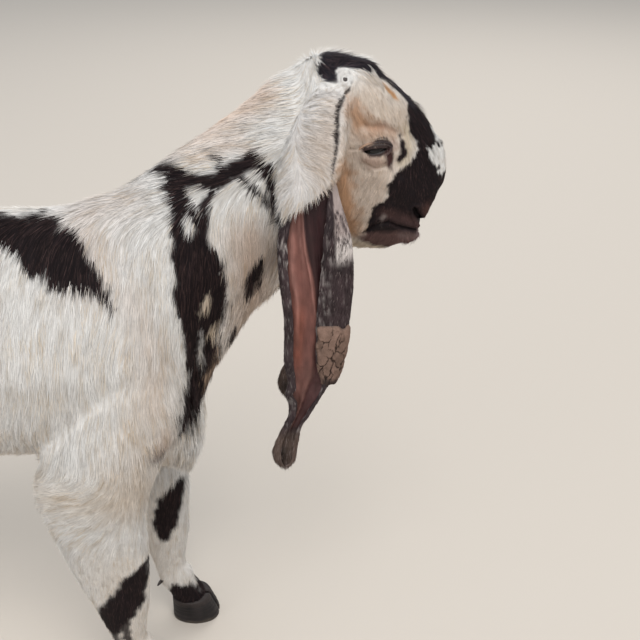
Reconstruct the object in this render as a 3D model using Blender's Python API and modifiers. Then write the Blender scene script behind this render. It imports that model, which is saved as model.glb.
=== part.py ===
"""A life-size young goat with long hanging ears and an arched nose, standing.

+X is forward, +Y is the goat's left and +Z is up. The floor is z = 0.
Stations are in units of the height at the withers, 77 units high, and
UNIT turns them into metres.
"""

import math
import random
from typing import NamedTuple

import bmesh
import bpy
import numpy as np
from mathutils import Matrix, Vector
from mathutils.bvhtree import BVHTree

# Driving dimensions, in metres.
WITHERS_HEIGHT = 0.75
UNIT = WITHERS_HEIGHT / 77.0
GAP = 0.0003

# Working resolution of the joined body before it is thinned, in metres.
BODY_VOXEL = 0.0040
SMOOTH_PASSES = 6

# Share of the fine triangles that each node keeps.
DETAIL = {
    "head": 0.054,
    "neck": 0.024,
    "torso": 0.0135,
    "leg_upper": 0.020,
    "leg_lower": 0.036,
}

# Each station of a body loft: the upper point (x, z), the lower point (x, z), and
# five side radii from near the top of the section to near its bottom.
TORSO = [
    ((-15.5, 55.0), (-16.5, 41.0), (3.8, 3.8, 3.7, 3.6, 3.6)),
    ((-17.0, 66.0), (-18.0, 36.0), (6.6, 7.2, 7.6, 7.4, 6.6)),
    ((-20.0, 73.5), (-21.5, 35.2), (6.2, 8.2, 9.4, 9.2, 7.6)),
    ((-24.5, 74.7), (-27.0, 36.0), (5.4, 8.2, 10.4, 10.4, 8.6)),
    ((-31.0, 72.8), (-34.0, 37.6), (7.0, 9.4, 11.4, 11.6, 10.0)),
    ((-40.0, 72.4), (-42.0, 38.4), (9.0, 11.2, 12.8, 13.0, 11.6)),
    ((-50.0, 72.0), (-51.0, 38.2), (10.4, 12.2, 13.8, 14.2, 12.8)),
    ((-60.0, 72.6), (-60.0, 39.2), (10.8, 12.2, 13.8, 14.2, 12.6)),
    ((-69.0, 73.6), (-69.0, 41.6), (11.0, 11.6, 12.6, 12.6, 11.0)),
    ((-77.0, 74.0), (-76.0, 45.4), (11.4, 11.2, 10.8, 10.2, 8.8)),
    ((-84.0, 72.0), (-81.0, 49.0), (10.8, 10.2, 9.8, 9.0, 7.8)),
    ((-89.0, 69.0), (-86.0, 53.0), (8.6, 8.6, 8.2, 7.4, 6.4)),
    ((-92.5, 65.0), (-90.5, 58.0), (4.6, 4.8, 4.8, 4.6, 4.2)),
]
NECK = [
    ((-28.0, 73.0), (-20.0, 40.0), (5.6, 7.2, 8.6, 8.4, 7.0)),
    ((-22.0, 76.0), (-17.5, 44.0), (4.8, 6.6, 8.0, 7.8, 6.4)),
    ((-17.0, 79.4), (-14.3, 50.5), (4.6, 6.0, 6.9, 6.8, 5.6)),
    ((-12.0, 82.8), (-11.0, 56.0), (4.6, 5.8, 6.3, 6.0, 5.0)),
    ((-7.5, 86.2), (-8.0, 60.4), (4.9, 5.8, 6.0, 5.6, 4.6)),
    ((-4.5, 88.6), (-4.0, 63.6), (5.2, 5.8, 5.9, 5.4, 4.4)),
    ((-1.5, 89.6), (0.5, 65.6), (5.2, 5.6, 5.6, 5.0, 4.2)),
    ((1.5, 89.0), (4.0, 67.0), (4.6, 5.0, 5.0, 4.4, 3.8)),
]
HEAD = [
    ((-2.6, 88.6), (-0.5, 79.0), (4.4, 4.4, 4.0, 3.6, 3.2)),
    ((0.2, 90.2), (0.6, 74.5), (5.6, 5.4, 5.0, 4.6, 4.2)),
    ((3.6, 89.8), (1.4, 71.2), (6.0, 5.5, 5.0, 4.8, 4.6)),
    ((6.4, 88.9), (2.2, 69.4), (6.2, 5.5, 5.0, 4.8, 4.6)),
    ((9.0, 86.8), (3.0, 68.2), (5.8, 5.5, 4.9, 4.6, 4.6)),
    ((11.2, 84.6), (4.3, 67.6), (4.6, 4.7, 4.6, 4.4, 4.4)),
    ((12.9, 82.2), (5.6, 67.4), (4.0, 4.0, 4.0, 4.0, 4.0)),
    ((13.9, 80.0), (6.9, 67.4), (3.7, 3.6, 3.6, 3.6, 3.6)),
    ((14.3, 77.7), (8.1, 67.5), (3.4, 3.2, 3.2, 3.3, 3.4)),
    ((14.0, 75.5), (9.3, 67.8), (3.2, 3.1, 3.1, 3.1, 3.2)),
    ((13.2, 73.6), (10.3, 68.3), (2.9, 2.9, 2.9, 2.8, 2.9)),
    ((12.4, 72.2), (11.2, 69.0), (2.2, 2.3, 2.3, 2.2, 2.2)),
]

# Each station of a leg: centre x, distance from the mid-plane, height, and the
# half-lengths fore-and-aft and sideways.
FORELEG = [
    (-24.0, 5.6, 56.0, 6.4, 3.6),
    (-25.0, 6.8, 49.0, 8.0, 4.6),
    (-27.5, 7.7, 42.5, 8.2, 5.0),
    (-29.3, 8.0, 37.0, 7.6, 4.7),
    (-29.5, 7.9, 31.5, 6.7, 4.1),
    (-28.9, 7.7, 26.0, 5.9, 3.6),
    (-28.4, 7.5, 21.0, 5.0, 3.2),
    (-27.8, 7.5, 17.5, 4.2, 3.1),
    (-27.6, 7.5, 14.5, 3.4, 2.8),
    (-27.4, 7.5, 11.5, 2.7, 2.4),
    (-27.1, 7.5, 9.0, 2.5, 2.3),
    (-26.3, 7.5, 6.9, 2.8, 2.6),
    (-25.2, 7.5, 5.2, 2.7, 2.6),
    (-24.4, 7.5, 3.4, 3.0, 2.9),
]
HINDLEG = [
    (-80.0, 5.8, 67.0, 9.0, 4.2),
    (-79.0, 7.4, 59.5, 11.2, 5.6),
    (-77.6, 8.7, 52.0, 11.2, 5.8),
    (-77.2, 9.2, 45.5, 9.4, 5.2),
    (-79.2, 8.9, 39.5, 7.2, 4.3),
    (-82.6, 8.5, 34.0, 5.4, 3.5),
    (-86.0, 8.2, 29.5, 4.4, 2.9),
    (-87.8, 8.0, 26.0, 4.1, 2.7),
    (-87.8, 7.9, 22.0, 3.2, 2.5),
    (-87.4, 7.8, 17.0, 2.6, 2.3),
    (-87.1, 7.8, 12.5, 2.4, 2.2),
    (-86.6, 7.8, 9.2, 2.5, 2.3),
    (-85.6, 7.8, 7.0, 2.8, 2.6),
    (-84.4, 7.8, 5.2, 2.7, 2.6),
    (-83.6, 7.8, 3.4, 3.0, 2.9),
]
# Bulges that the leg lofts lack, at the knee, elbow, fetlocks and hock: centre
# and half-sizes.
LEG_MASSES = [
    ("fore", (-28.5, 7.5, 18.6), (3.7, 2.9, 3.2)),
    ("fore", (-32.0, 7.9, 33.5), (3.4, 3.0, 4.2)),
    ("fore", (-26.5, 7.5, 8.2), (2.9, 2.5, 2.0)),
    ("hind", (-86.1, 7.8, 8.6), (2.9, 2.5, 2.0)),
    ("hind", (-89.5, 8.1, 27.6), (2.6, 2.2, 3.2)),
]
# How far forward each leg stands of the stations above: none at the top of its
# stretch, growing down to its full step at the bottom.
LEG_STEP = {"fore_right": 0.0, "fore_left": 3.6, "hind_right": 0.0, "hind_left": 5.0}
STEP_STRETCH = (56.0, 26.0)
SIDES = {"right": -1.0, "left": 1.0}

# Cuts between the nodes, as two points (x, z) of each plane seen from the side.
HEAD_CUT = ((-2.4, 92.0), (3.6, 63.0))
NECK_CUT = ((-22.0, 79.0), (-14.4, 40.0))
KNEE_CUT_HEIGHT = 15.2
HOCK_CUT_HEIGHT = 23.8
CORONET_HEIGHT = 4.0

# The eye, as its centre and radius, the mound of its lids, and the slit between them.
EYE_CENTRE = (6.1, 3.85, 80.8)
EYE_RADIUS = 1.50
LID_MOUND = (2.45, 1.86, 1.95)
EYE_SLIT = (1.28, 0.42)
EYE_SLIT_TILT = 12.0

# The line of the mouth from behind its corner to the front, and the groove there.
MOUTH = [(4.9, 70.6), (6.3, 71.7), (8.1, 72.2), (9.9, 71.3), (11.3, 70.2), (13.2, 69.6)]
MOUTH_GROOVE = 0.13
MOUTH_DEPTH = 0.55

# Bulges that the head's loft lacks: centre, half-sizes and pitch about Y in degrees.
HEAD_MASSES = [
    ((5.4, 3.0, 82.3), (3.3, 2.3, 1.9), 20.0),
    ((1.4, 2.9, 76.6), (3.4, 2.5, 5.2), -14.0),
    ((11.0, 1.1, 72.4), (1.9, 1.9, 1.7), 0.0),
    ((10.9, 0.7, 69.1), (1.5, 1.9, 1.1), -25.0),
]
NOSTRIL = ((11.75, 2.35, 73.0), (1.05, 0.8, 0.34), 48.0)

HORN_BUD = ((2.7, 3.0, 88.2), (0.95, 0.95, 1.5))

# Rows of the hanging ear blade: height, rear edge, front fold, free margin of the
# folded flap, and distance of the blade from the mid-plane.
EAR = [
    (80.5, -3.4, 1.0, 0.7, 7.4),
    (76.5, -4.4, 2.0, 0.8, 8.5),
    (72.0, -4.5, 3.3, 0.4, 8.9),
    (67.0, -4.4, 3.6, 0.0, 9.0),
    (62.4, -4.0, 3.3, -0.4, 8.9),
    (57.1, -4.1, 2.5, -0.5, 8.7),
    (54.6, -3.9, 1.9, -0.1, 8.6),
    (52.4, -3.7, 0.4, 0.1, 8.5),
    (49.2, -3.6, -1.4, -1.5, 8.4),
    (46.6, -4.6, -2.6, -2.8, 8.4),
    (43.8, -5.6, -3.3, -3.6, 8.3),
    (41.3, -5.2, -4.2, -4.3, 8.2),
]
EAR_THICKNESS = 0.36

# Rows of the furred base of the ear: centre, half-length, half-thickness, and rise
# of the row towards the front.
EAR_BASE = [
    ((1.3, 3.2, 88.2), 1.3, 1.1, 0.0),
    ((0.9, 4.8, 87.2), 2.0, 1.3, 0.0),
    ((0.2, 5.9, 85.4), 2.8, 1.6, 0.05),
    ((-0.5, 6.8, 82.6), 3.4, 1.8, 0.1),
    ((-1.1, 7.6, 79.6), 3.6, 1.9, 0.2),
    ((-1.5, 8.2, 77.0), 3.5, 1.95, 0.35),
    ((-1.7, 8.5, 75.4), 3.2, 1.75, 0.5),
]
EAR_CUP = ((-1.5, 9.25, 75.6), (1.6, 0.36, 3.0))

# Rows of a claw: height, shift forward, half-length, and outer half-width.
CLAW = [
    (4.0, 0.0, 2.95, 2.75),
    (2.9, 0.25, 3.15, 2.85),
    (1.3, 0.55, 3.5, 2.95),
    (0.0, 0.7, 3.7, 2.95),
]
CLEFT = 0.22

# The dewclaws of a fore and a hind foot: place (x, z) of the pair's middle behind the
# leg, how far each stands from it, half-sizes and pitch.
DEWCLAW = {"fore": (-29.0, 7.2), "hind": (-88.5, 7.6)}
DEWCLAW_SPREAD = 1.15
DEWCLAW_SIZE = (1.25, 0.62, 0.72)
DEWCLAW_PITCH = -62.0

# The tail's middle line (x, z) with its half-width and half-thickness, and the
# rings to each span of it.
TAIL_STEPS = 2
TAIL = [
    (-88.5, 65.8, 2.8, 2.4),
    (-91.5, 67.6, 2.8, 2.2),
    (-94.1, 69.6, 2.6, 1.9),
    (-95.6, 72.2, 2.3, 1.6),
    (-95.9, 75.0, 1.8, 1.2),
    (-95.3, 77.4, 0.9, 0.7),
]


class LockSize(NamedTuple):
    """A lock: how far its middle stands off, and how far its tip hangs."""

    length: float
    width: float
    thick: float
    lift: float
    droop: float


class LockPatch(NamedTuple):
    """Staggered rows of locks on a loft, over a stretch of its stations and an arc
    round it in degrees, combed towards its first (-1) or last (+1) station."""

    rows: int
    columns: int
    stretch: tuple
    arc: tuple
    towards: int
    size: LockSize


NECK_LOCKS = LockPatch(5, 4, (1.2, 5.8), (136, 224), -1, LockSize(6.8, 2.9, 0.9, 0.7, 0.8))
CHEST_LOCKS = LockPatch(3, 4, (0.4, 2.3), (140, 220), 1, LockSize(5.0, 3.4, 0.9, 0.25, 0.2))
TAIL_LOCKS = LockPatch(3, 3, (1.6, 4.8), (0, 360), 1, LockSize(4.6, 2.3, 0.9, 0.3, 0.0))
CUFF_LOCK = LockSize(3.4, 1.5, 0.5, 0.1, 0.0)
CUFF_ARC = (25, 150, 5)
CROWN_LOCK = LockSize(2.6, 1.3, 0.6, 0.35, 0.3)
CROWN_ARC = (-70, 120, 4)
NOSE_TUFT = ((10.4, -0.7, 85.9), (10.6, 0.6, 85.6), (11.4, -0.1, 84.6))
NOSE_LIE = (0.75, 0.0, -0.6)
NOSE_LOCK = LockSize(2.1, 1.7, 0.8, 0.35, 0.0)
CHIN_TUFT = ((8.6, -0.8, 67.4), (8.0, 0.8, 67.4), (6.4, -0.5, 67.3), (5.8, 0.6, 67.3))
CHIN_LIE = (-0.85, 0.0, -0.1)
CHIN_LOCK = LockSize(2.4, 2.2, 0.8, 0.15, 0.3)
LOCK_ROOT = 1.0
LOCK_SHARES = (0.0, 0.4, 0.75, 1.0)
LOCK_SEED = 7

MATERIALS = {
    "coat": ((0.78, 0.72, 0.64), 0.8),
    "dark_skin": ((0.10, 0.055, 0.05), 0.55),
    "ear_skin": ((0.34, 0.13, 0.10), 0.5),
    "eye": ((0.10, 0.08, 0.07), 0.08),
    "horn": ((0.12, 0.10, 0.09), 0.4),
}


def clear_scene():
    """Remove the objects of the startup scene."""
    for obj in list(bpy.data.objects):
        bpy.data.objects.remove(obj, do_unlink=True)


def material(name):
    """The named material, made on its first use."""
    found = bpy.data.materials.get(name)
    if found:
        return found
    colour, roughness = MATERIALS[name]
    made = bpy.data.materials.new(name)
    made.use_nodes = True
    shader = made.node_tree.nodes["Principled BSDF"]
    shader.inputs["Base Color"].default_value = (*colour, 1.0)
    shader.inputs["Roughness"].default_value = roughness
    shader.inputs["Metallic"].default_value = 0.0
    return made


def new_collection(name):
    made = bpy.data.collections.new(name)
    bpy.context.scene.collection.children.link(made)
    return made


def add_object(name, mesh, collection, finish="coat"):
    """A new object with one material, in a collection."""
    obj = bpy.data.objects.new(name, mesh)
    mesh.materials.clear()
    mesh.materials.append(material(finish))
    collection.objects.link(obj)
    return obj


def mesh_of_grid(name, rings):
    """A closed mesh from rings of points, each joined to the next, with flat ends."""
    count, sides = rings.shape[:2]
    index = np.arange(count * sides).reshape(count, sides)
    after = np.roll(index, -1, axis=1)
    quads = np.stack([index[:-1], after[:-1], after[1:], index[1:]], axis=-1)
    faces = [tuple(q) for q in quads.reshape(-1, 4).tolist()]
    faces.append(tuple(index[0][::-1].tolist()))
    faces.append(tuple(index[-1].tolist()))
    mesh = bpy.data.meshes.new(name)
    mesh.from_pydata(rings.reshape(-1, 3).tolist(), [], faces)
    face_outwards(mesh)
    return mesh


def face_outwards(mesh):
    """Turn every face of a closed mesh outwards."""
    work = bmesh.new()
    work.from_mesh(mesh)
    bmesh.ops.recalc_face_normals(work, faces=work.faces)
    if work.calc_volume(signed=True) < 0:
        bmesh.ops.reverse_faces(work, faces=work.faces)
    work.to_mesh(mesh)
    work.free()


def smooth_rows(rows, steps):
    """Rows on a Catmull-Rom curve through the given rows, `steps` to each span."""
    rows = np.asarray(rows, float)
    padded = np.vstack([2 * rows[0] - rows[1], rows, 2 * rows[-1] - rows[-2]])
    share = (np.arange(steps) / steps)[:, None]
    made = []
    for a, b, c, d in zip(padded, padded[1:], padded[2:], padded[3:]):
        made.append(
            0.5
            * (
                2 * b
                + (c - a) * share
                + (2 * a - 5 * b + 4 * c - d) * share**2
                + (3 * b - 3 * c + d - a) * share**3
            )
        )
    return np.vstack([*made, rows[-1:]])


def body_rings(stations, steps, sides):
    """Rings of a body loft. A section runs from its upper to its lower point as
    (1 - cos a) / 2, and out to the side as its radius times sin a."""
    flat = [(*top, *bottom, *radii) for top, bottom, radii in stations]
    rows = smooth_rows(flat, steps)
    angle = np.linspace(0, 2 * math.pi, sides, endpoint=False)
    around = np.minimum(angle, 2 * math.pi - angle)
    known = np.radians([0, 30, 60, 90, 120, 150, 180])
    rings = []
    for row in rows:
        radii = np.array([row[4], *row[4:9], row[8]])
        radius = np.interp(around, known, radii)
        share = (1 - np.cos(angle)) / 2
        x = row[0] + (row[2] - row[0]) * share
        z = row[1] + (row[3] - row[1]) * share
        rings.append(np.stack([x, radius * np.sin(angle), z], axis=-1))
    return np.array(rings) * UNIT


def leg_shift(step, height):
    """How far forward a leg with this step stands at a height."""
    top, bottom = STEP_STRETCH
    return step * np.clip((top - height) / (top - bottom), 0, 1)


def leg_rings(stations, side, step, steps=4, sides=20):
    """Rings of a leg, level ellipses round its stations, moved forward by its step."""
    rows = smooth_rows(stations, steps)
    angle = np.linspace(0, 2 * math.pi, sides, endpoint=False)
    x = rows[:, 0:1] + leg_shift(step, rows[:, 2:3]) + rows[:, 3:4] * np.cos(angle)
    y = side * rows[:, 1:2] + rows[:, 4:5] * np.sin(angle)
    z = np.repeat(rows[:, 2:3], sides, axis=1)
    return np.stack([x, y, z], axis=-1) * UNIT


def evaluated_mesh(obj):
    """A new mesh of the object with its modifiers applied."""
    graph = bpy.context.evaluated_depsgraph_get()
    return bpy.data.meshes.new_from_object(obj.evaluated_get(graph))


def apply_modifiers(obj):
    """Replace the object's mesh by its evaluated mesh."""
    old = obj.data
    made = evaluated_mesh(obj)
    obj.modifiers.clear()
    obj.data = made
    bpy.data.meshes.remove(old)
    return obj


def boolean(obj, other, operation, solver="MANIFOLD"):
    """Apply one Boolean with another object."""
    change = obj.modifiers.new("cut", "BOOLEAN")
    change.operation = operation
    change.solver = solver
    change.object = other
    return apply_modifiers(obj)


def remove(*objects):
    for obj in objects:
        bpy.data.objects.remove(obj, do_unlink=True)


def keep_largest(obj):
    """Keep only the largest closed surface of the object."""
    work = bmesh.new()
    work.from_mesh(obj.data)
    left = set(work.faces)
    pieces = []
    while left:
        stack = [left.pop()]
        piece = set(stack)
        while stack:
            for edge in stack.pop().edges:
                for face in edge.link_faces:
                    if face in left:
                        left.discard(face)
                        piece.add(face)
                        stack.append(face)
        pieces.append(piece)
    pieces.sort(key=lambda piece: sum(face.calc_area() for face in piece))
    scraps = [face for piece in pieces[:-1] for face in piece]
    if scraps:
        bmesh.ops.delete(work, geom=scraps, context="FACES")
        work.to_mesh(obj.data)
    work.free()
    return obj


def joined_body(parts):
    """One smooth closed surface round all the lofts."""
    spare = new_collection("lofts")
    objects = [
        add_object(f"loft_{i}", mesh_of_grid(f"loft_{i}", rings), spare)
        for i, rings in enumerate(parts)
    ]
    body = objects[0]
    for other in objects[1:]:
        boolean(body, other, "UNION")
    remove(*objects[1:])
    fine = body.modifiers.new("fine", "REMESH")
    fine.mode = "VOXEL"
    fine.voxel_size = BODY_VOXEL
    soft = body.modifiers.new("soft", "SMOOTH")
    soft.factor = 0.5
    soft.iterations = SMOOTH_PASSES
    apply_modifiers(body)
    return keep_largest(body)


def sliced(obj, point, normal):
    """Cut the object's mesh by a plane, drop the side that the normal points to,
    and close the cut."""
    work = bmesh.new()
    work.from_mesh(obj.data)
    geometry = [*work.verts, *work.edges, *work.faces]
    bmesh.ops.bisect_plane(
        work,
        geom=geometry,
        dist=1e-7,
        plane_co=point,
        plane_no=normal,
        clear_outer=True,
    )
    rim = [edge for edge in work.edges if edge.is_boundary]
    bmesh.ops.triangle_fill(work, edges=rim, use_beauty=True, use_dissolve=False)
    bmesh.ops.recalc_face_normals(work, faces=work.faces)
    work.to_mesh(obj.data)
    work.free()
    return obj


def side_plane(cut):
    """Point and forward-facing normal of a plane that holds the Y axis."""
    (x0, z0), (x1, z1) = cut
    along = Vector((x1 - x0, 0.0, z1 - z0)).normalized()
    normal = along.cross(Vector((0.0, 1.0, 0.0)))
    if normal.x < 0:
        normal.negate()
    return Vector((x0, 0.0, z0)) * UNIT, normal


def copy_of(obj, name, collection):
    made = bpy.data.objects.new(name, obj.data.copy())
    collection.objects.link(made)
    return made


def thinned(obj, share):
    """Collapse edges until about this share of the triangles is left."""
    fewer = obj.modifiers.new("fewer", "DECIMATE")
    fewer.ratio = share
    fewer.use_collapse_triangulate = True
    return apply_modifiers(obj)


def hull_object(name, points, collection):
    """The convex solid round a few corners, in metres."""
    work = bmesh.new()
    for point in points:
        work.verts.new(point)
    bmesh.ops.convex_hull(work, input=work.verts)
    mesh = bpy.data.meshes.new(name)
    bmesh.ops.recalc_face_normals(work, faces=work.faces)
    work.to_mesh(mesh)
    work.free()
    obj = bpy.data.objects.new(name, mesh)
    collection.objects.link(obj)
    return obj


def foreleg_region(side, grow, collection):
    """The space of one foreleg: below a plane that slopes up and outwards from
    beside the breastbone to the outside of the elbow."""
    inner, outer = 1.0 * UNIT - grow, 20.0 * UNIT + grow
    low, front, back = -3.0 * UNIT, -12.0 * UNIT, -42.0 * UNIT
    inner_top, outer_top = 34.6 * UNIT + grow, 47.4 * UNIT + grow
    points = [
        (x, side * y, z)
        for x in (front + grow, back - grow)
        for y, z in ((inner, low), (outer, low), (outer, outer_top), (inner, inner_top))
    ]
    return hull_object("foreleg_region", points, collection)


def hindleg_region(side, grow, collection):
    """The space of one hind leg: below a plane that slopes from the groin up to
    the hip, and behind the fold of the flank."""
    inner, outer = 0.8 * UNIT - grow, 22.0 * UNIT + grow
    low, back = -3.0 * UNIT, -104.0 * UNIT
    inner_top, outer_top = 43.2 * UNIT + grow, 69.5 * UNIT + grow
    flank_slope = 0.30

    def flank(z):
        return -63.5 * UNIT - flank_slope * (z - 36.0 * UNIT) + grow

    points = []
    for y, z in ((inner, low), (outer, low), (outer, outer_top), (inner, inner_top)):
        points.append((back - grow, side * y, z))
        points.append((flank(z), side * y, z))
    return hull_object("hindleg_region", points, collection)


def fine_bodies(spare):
    """The joined body at each density that the nodes are cut from."""
    parts = [body_rings(TORSO, 4, 40), body_rings(NECK, 4, 32), body_rings(HEAD, 5, 32)]
    for side, sign in SIDES.items():
        parts.append(leg_rings(FORELEG, sign, LEG_STEP[f"fore_{side}"]))
        parts.append(leg_rings(HINDLEG, sign, LEG_STEP[f"hind_{side}"]))
        for leg, (x, y, z), radii in LEG_MASSES:
            forward = leg_shift(LEG_STEP[f"{leg}_{side}"], z)
            parts.append(ellipsoid_rings((x + forward, y, z), radii, 0.0, sign))
    parts += [ellipsoid_rings(*mass, sign) for mass in HEAD_MASSES for sign in SIDES.values()]
    body = joined_body(parts)
    made = {}
    for part, share in DETAIL.items():
        made[part] = thinned(copy_of(body, f"body_{part}", spare), share)
    remove(body)
    return made


def ellipsoid_rings(centre, radii, pitch, sign=1.0, rows=10, sides=16):
    """Rings of an ellipsoid pitched about Y, with small flat ends along X."""
    latitude = np.linspace(0.02 * math.pi, 0.98 * math.pi, rows)[:, None]
    angle = np.linspace(0, 2 * math.pi, sides, endpoint=False)
    x = -np.cos(latitude) * np.ones(sides) * radii[0]
    y = np.sin(latitude) * np.cos(angle) * radii[1]
    z = np.sin(latitude) * np.sin(angle) * radii[2]
    turn = math.radians(pitch)
    across = x * math.cos(turn) + z * math.sin(turn)
    up = z * math.cos(turn) - x * math.sin(turn)
    points = np.stack([across + centre[0], sign * (y + centre[1]), up + centre[2]], axis=-1)
    return points * UNIT


def dewclaw_rings(leg, side):
    """The two small horn points behind a foot, below the fetlock."""
    x, height = DEWCLAW[leg]
    y = (FORELEG if leg == "fore" else HINDLEG)[-1][1]
    middle = x + LEG_STEP[f"{leg}_{side}"]
    return [
        ellipsoid_rings((middle, y + offset, height), DEWCLAW_SIZE, DEWCLAW_PITCH, SIDES[side], 7, 8)
        for offset in (-DEWCLAW_SPREAD, DEWCLAW_SPREAD)
    ]


def build_trunk(nodes, spare, bodies, rng):
    """The torso and the fleshy parts of the legs, parted by thin cuts."""
    half = GAP / 2
    torso = copy_of(bodies["torso"], "torso", nodes)
    fuse(torso, combed_locks(body_rings(TORSO, 4, 36), 4, CHEST_LOCKS, torso, rng))
    up, down = Vector((0, 0, 1)), Vector((0, 0, -1))
    for side, sign in SIDES.items():
        for leg, region in (("fore", foreleg_region), ("hind", hindleg_region)):
            inside = region(sign, -half, spare)
            outside = region(sign, half, spare)
            split = KNEE_CUT_HEIGHT if leg == "fore" else HOCK_CUT_HEIGHT
            upper = copy_of(bodies["leg_upper"], f"{leg}leg_{side}_upper", nodes)
            lower = copy_of(bodies["leg_lower"], f"{leg}leg_{side}_lower", nodes)
            for limb in (upper, lower):
                boolean(limb, inside, "INTERSECT")
            keep_largest(sliced(upper, Vector((0, 0, split * UNIT + half)), down))
            sliced(lower, Vector((0, 0, split * UNIT - half)), up)
            keep_largest(sliced(lower, Vector((0, 0, CORONET_HEIGHT * UNIT + half)), down))
            fuse(lower, dewclaw_rings(leg, side))
            boolean(torso, outside, "DIFFERENCE")
            remove(inside, outside)
    point, forward = side_plane(NECK_CUT)
    keep_largest(sliced(torso, point - forward * half, forward))
    return torso


def build_neck(nodes, bodies, rng):
    half = GAP / 2
    neck = copy_of(bodies["neck"], "neck", nodes)
    fuse(neck, combed_locks(body_rings(NECK, 4, 36), 4, NECK_LOCKS, neck, rng))
    point, forward = side_plane(NECK_CUT)
    sliced(neck, point + forward * half, -forward)
    point, forward = side_plane(HEAD_CUT)
    return keep_largest(sliced(neck, point - forward * half, forward))


def cutter(name, rings, collection):
    obj = bpy.data.objects.new(name, mesh_of_grid(name, rings))
    obj.hide_render = True
    obj.display_type = "WIRE"
    collection.objects.link(obj)
    return obj


def eye_slit_rings(sign):
    """A lens-shaped plug along Y, pitched as the slit between the lids."""
    half_width, half_height = EYE_SLIT
    angle = np.linspace(0, 2 * math.pi, 16, endpoint=False)
    x = half_width * np.cos(angle)
    z = half_height * np.sin(angle) * np.abs(np.sin(angle)) ** 0.4
    turn = math.radians(EYE_SLIT_TILT)
    along = x * math.cos(turn) - z * math.sin(turn)
    up = x * math.sin(turn) + z * math.cos(turn)
    rings = []
    for depth, flare in ((0.0, 0.9), (3.2, 1.25)):
        y = np.full_like(x, sign * (EYE_CENTRE[1] + depth))
        rings.append(np.stack([EYE_CENTRE[0] + along * flare, y, EYE_CENTRE[2] + up * flare], -1))
    return np.array(rings) * UNIT


def mouth_slab_rings():
    """A thin slab right across the head that follows the line of the mouth."""
    line = smooth_rows(MOUTH, 3)
    across = 6.0
    rings = []
    for (x, z), share in zip(line, np.linspace(0, 1, len(line))):
        thick = MOUTH_GROOVE * min(1.0, 0.25 + 4.0 * share)
        corners = [(across, -thick), (across, thick), (-across, thick), (-across, -thick)]
        rings.append([(x, y, z + dz) for y, dz in corners])
    return np.array(rings) * UNIT


def cut_mouth(head, spare):
    """Cut a shallow groove along the line of the mouth, all round the lips."""
    groove = cutter("mouth_groove", mouth_slab_rings(), spare)
    core = copy_of(head, "mouth_core", spare)
    shrink = core.modifiers.new("shrink", "DISPLACE")
    shrink.strength = -MOUTH_DEPTH * UNIT
    shrink.mid_level = 0.0
    apply_modifiers(core)
    boolean(groove, core, "DIFFERENCE")
    boolean(head, groove, "DIFFERENCE")
    remove(groove, core)


def build_head(nodes, spare, bodies):
    """The head with its lids, sockets, nostrils and mouth."""
    half = GAP / 2
    head = copy_of(bodies["head"], "head", nodes)
    point, forward = side_plane(HEAD_CUT)
    keep_largest(sliced(head, point + forward * half, -forward))
    cut_mouth(head, spare)
    for sign in SIDES.values():
        mound = cutter("mound", ellipsoid_rings(EYE_CENTRE, LID_MOUND, -10.0, sign), spare)
        slit = cutter("slit", eye_slit_rings(sign), spare)
        room = EYE_RADIUS + GAP / UNIT
        socket = cutter("socket", ellipsoid_rings(EYE_CENTRE, (room,) * 3, 0.0, sign), spare)
        nostril = cutter("nostril", ellipsoid_rings(*NOSTRIL, sign), spare)
        boolean(head, mound, "UNION")
        for hole in (slit, socket, nostril):
            boolean(head, hole, "DIFFERENCE")
        remove(mound, slit, socket, nostril)
    return keep_largest(head)


def grown_copy(obj, collection):
    """A copy of the object, swollen by the gap that touching nodes keep."""
    made = copy_of(obj, f"{obj.name}_grown", collection)
    swell = made.modifiers.new("swell", "DISPLACE")
    swell.strength = GAP * 1.3
    swell.mid_level = 0.0
    return apply_modifiers(made)


def fit_against(obj, neighbours, collection):
    """Cut the object clear of its neighbours by the gap."""
    for neighbour in neighbours:
        grown = grown_copy(neighbour, collection)
        boolean(obj, grown, "DIFFERENCE")
        remove(grown)
    return keep_largest(obj)


def build_eye(side, sign, nodes):
    eye = cutter("eye", ellipsoid_rings(EYE_CENTRE, (EYE_RADIUS,) * 3, 0.0, sign, 9, 16), nodes)
    eye.name = f"eye_{side}"
    return shown(eye, "eye")


def shown(obj, finish):
    """Turn a cutter shape into a node with a material."""
    obj.hide_render = False
    obj.display_type = "TEXTURED"
    obj.data.materials.clear()
    obj.data.materials.append(material(finish))
    return obj


def ear_section(row):
    """The path across the blade: rolled rear edge, channel, front fold, folded flap."""
    height, rear, front, free, out = row
    width = front - rear
    roll = min(0.75, 0.25 * width)
    lap = front - free
    curl = min(0.55, 0.3 * width)
    return [
        (rear + 1.25 * roll, out + curl),
        (rear + 0.5 * roll, out + 0.95 * curl),
        (rear, out + 0.25 * curl),
        (rear + 0.45 * roll, out - 0.55 * curl),
        (rear + 0.30 * width, out - 0.75 * curl),
        (rear + 0.46 * width, out - 0.35 * curl),
        (rear + 0.62 * width, out - 0.80 * curl),
        (rear + 0.86 * width, out - 0.70 * curl),
        (front, out),
        (front - 0.18 * lap, out + 0.75 * curl),
        (front - 0.60 * lap, out + 1.05 * curl),
        (free, out + 0.85 * curl),
    ]


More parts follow.
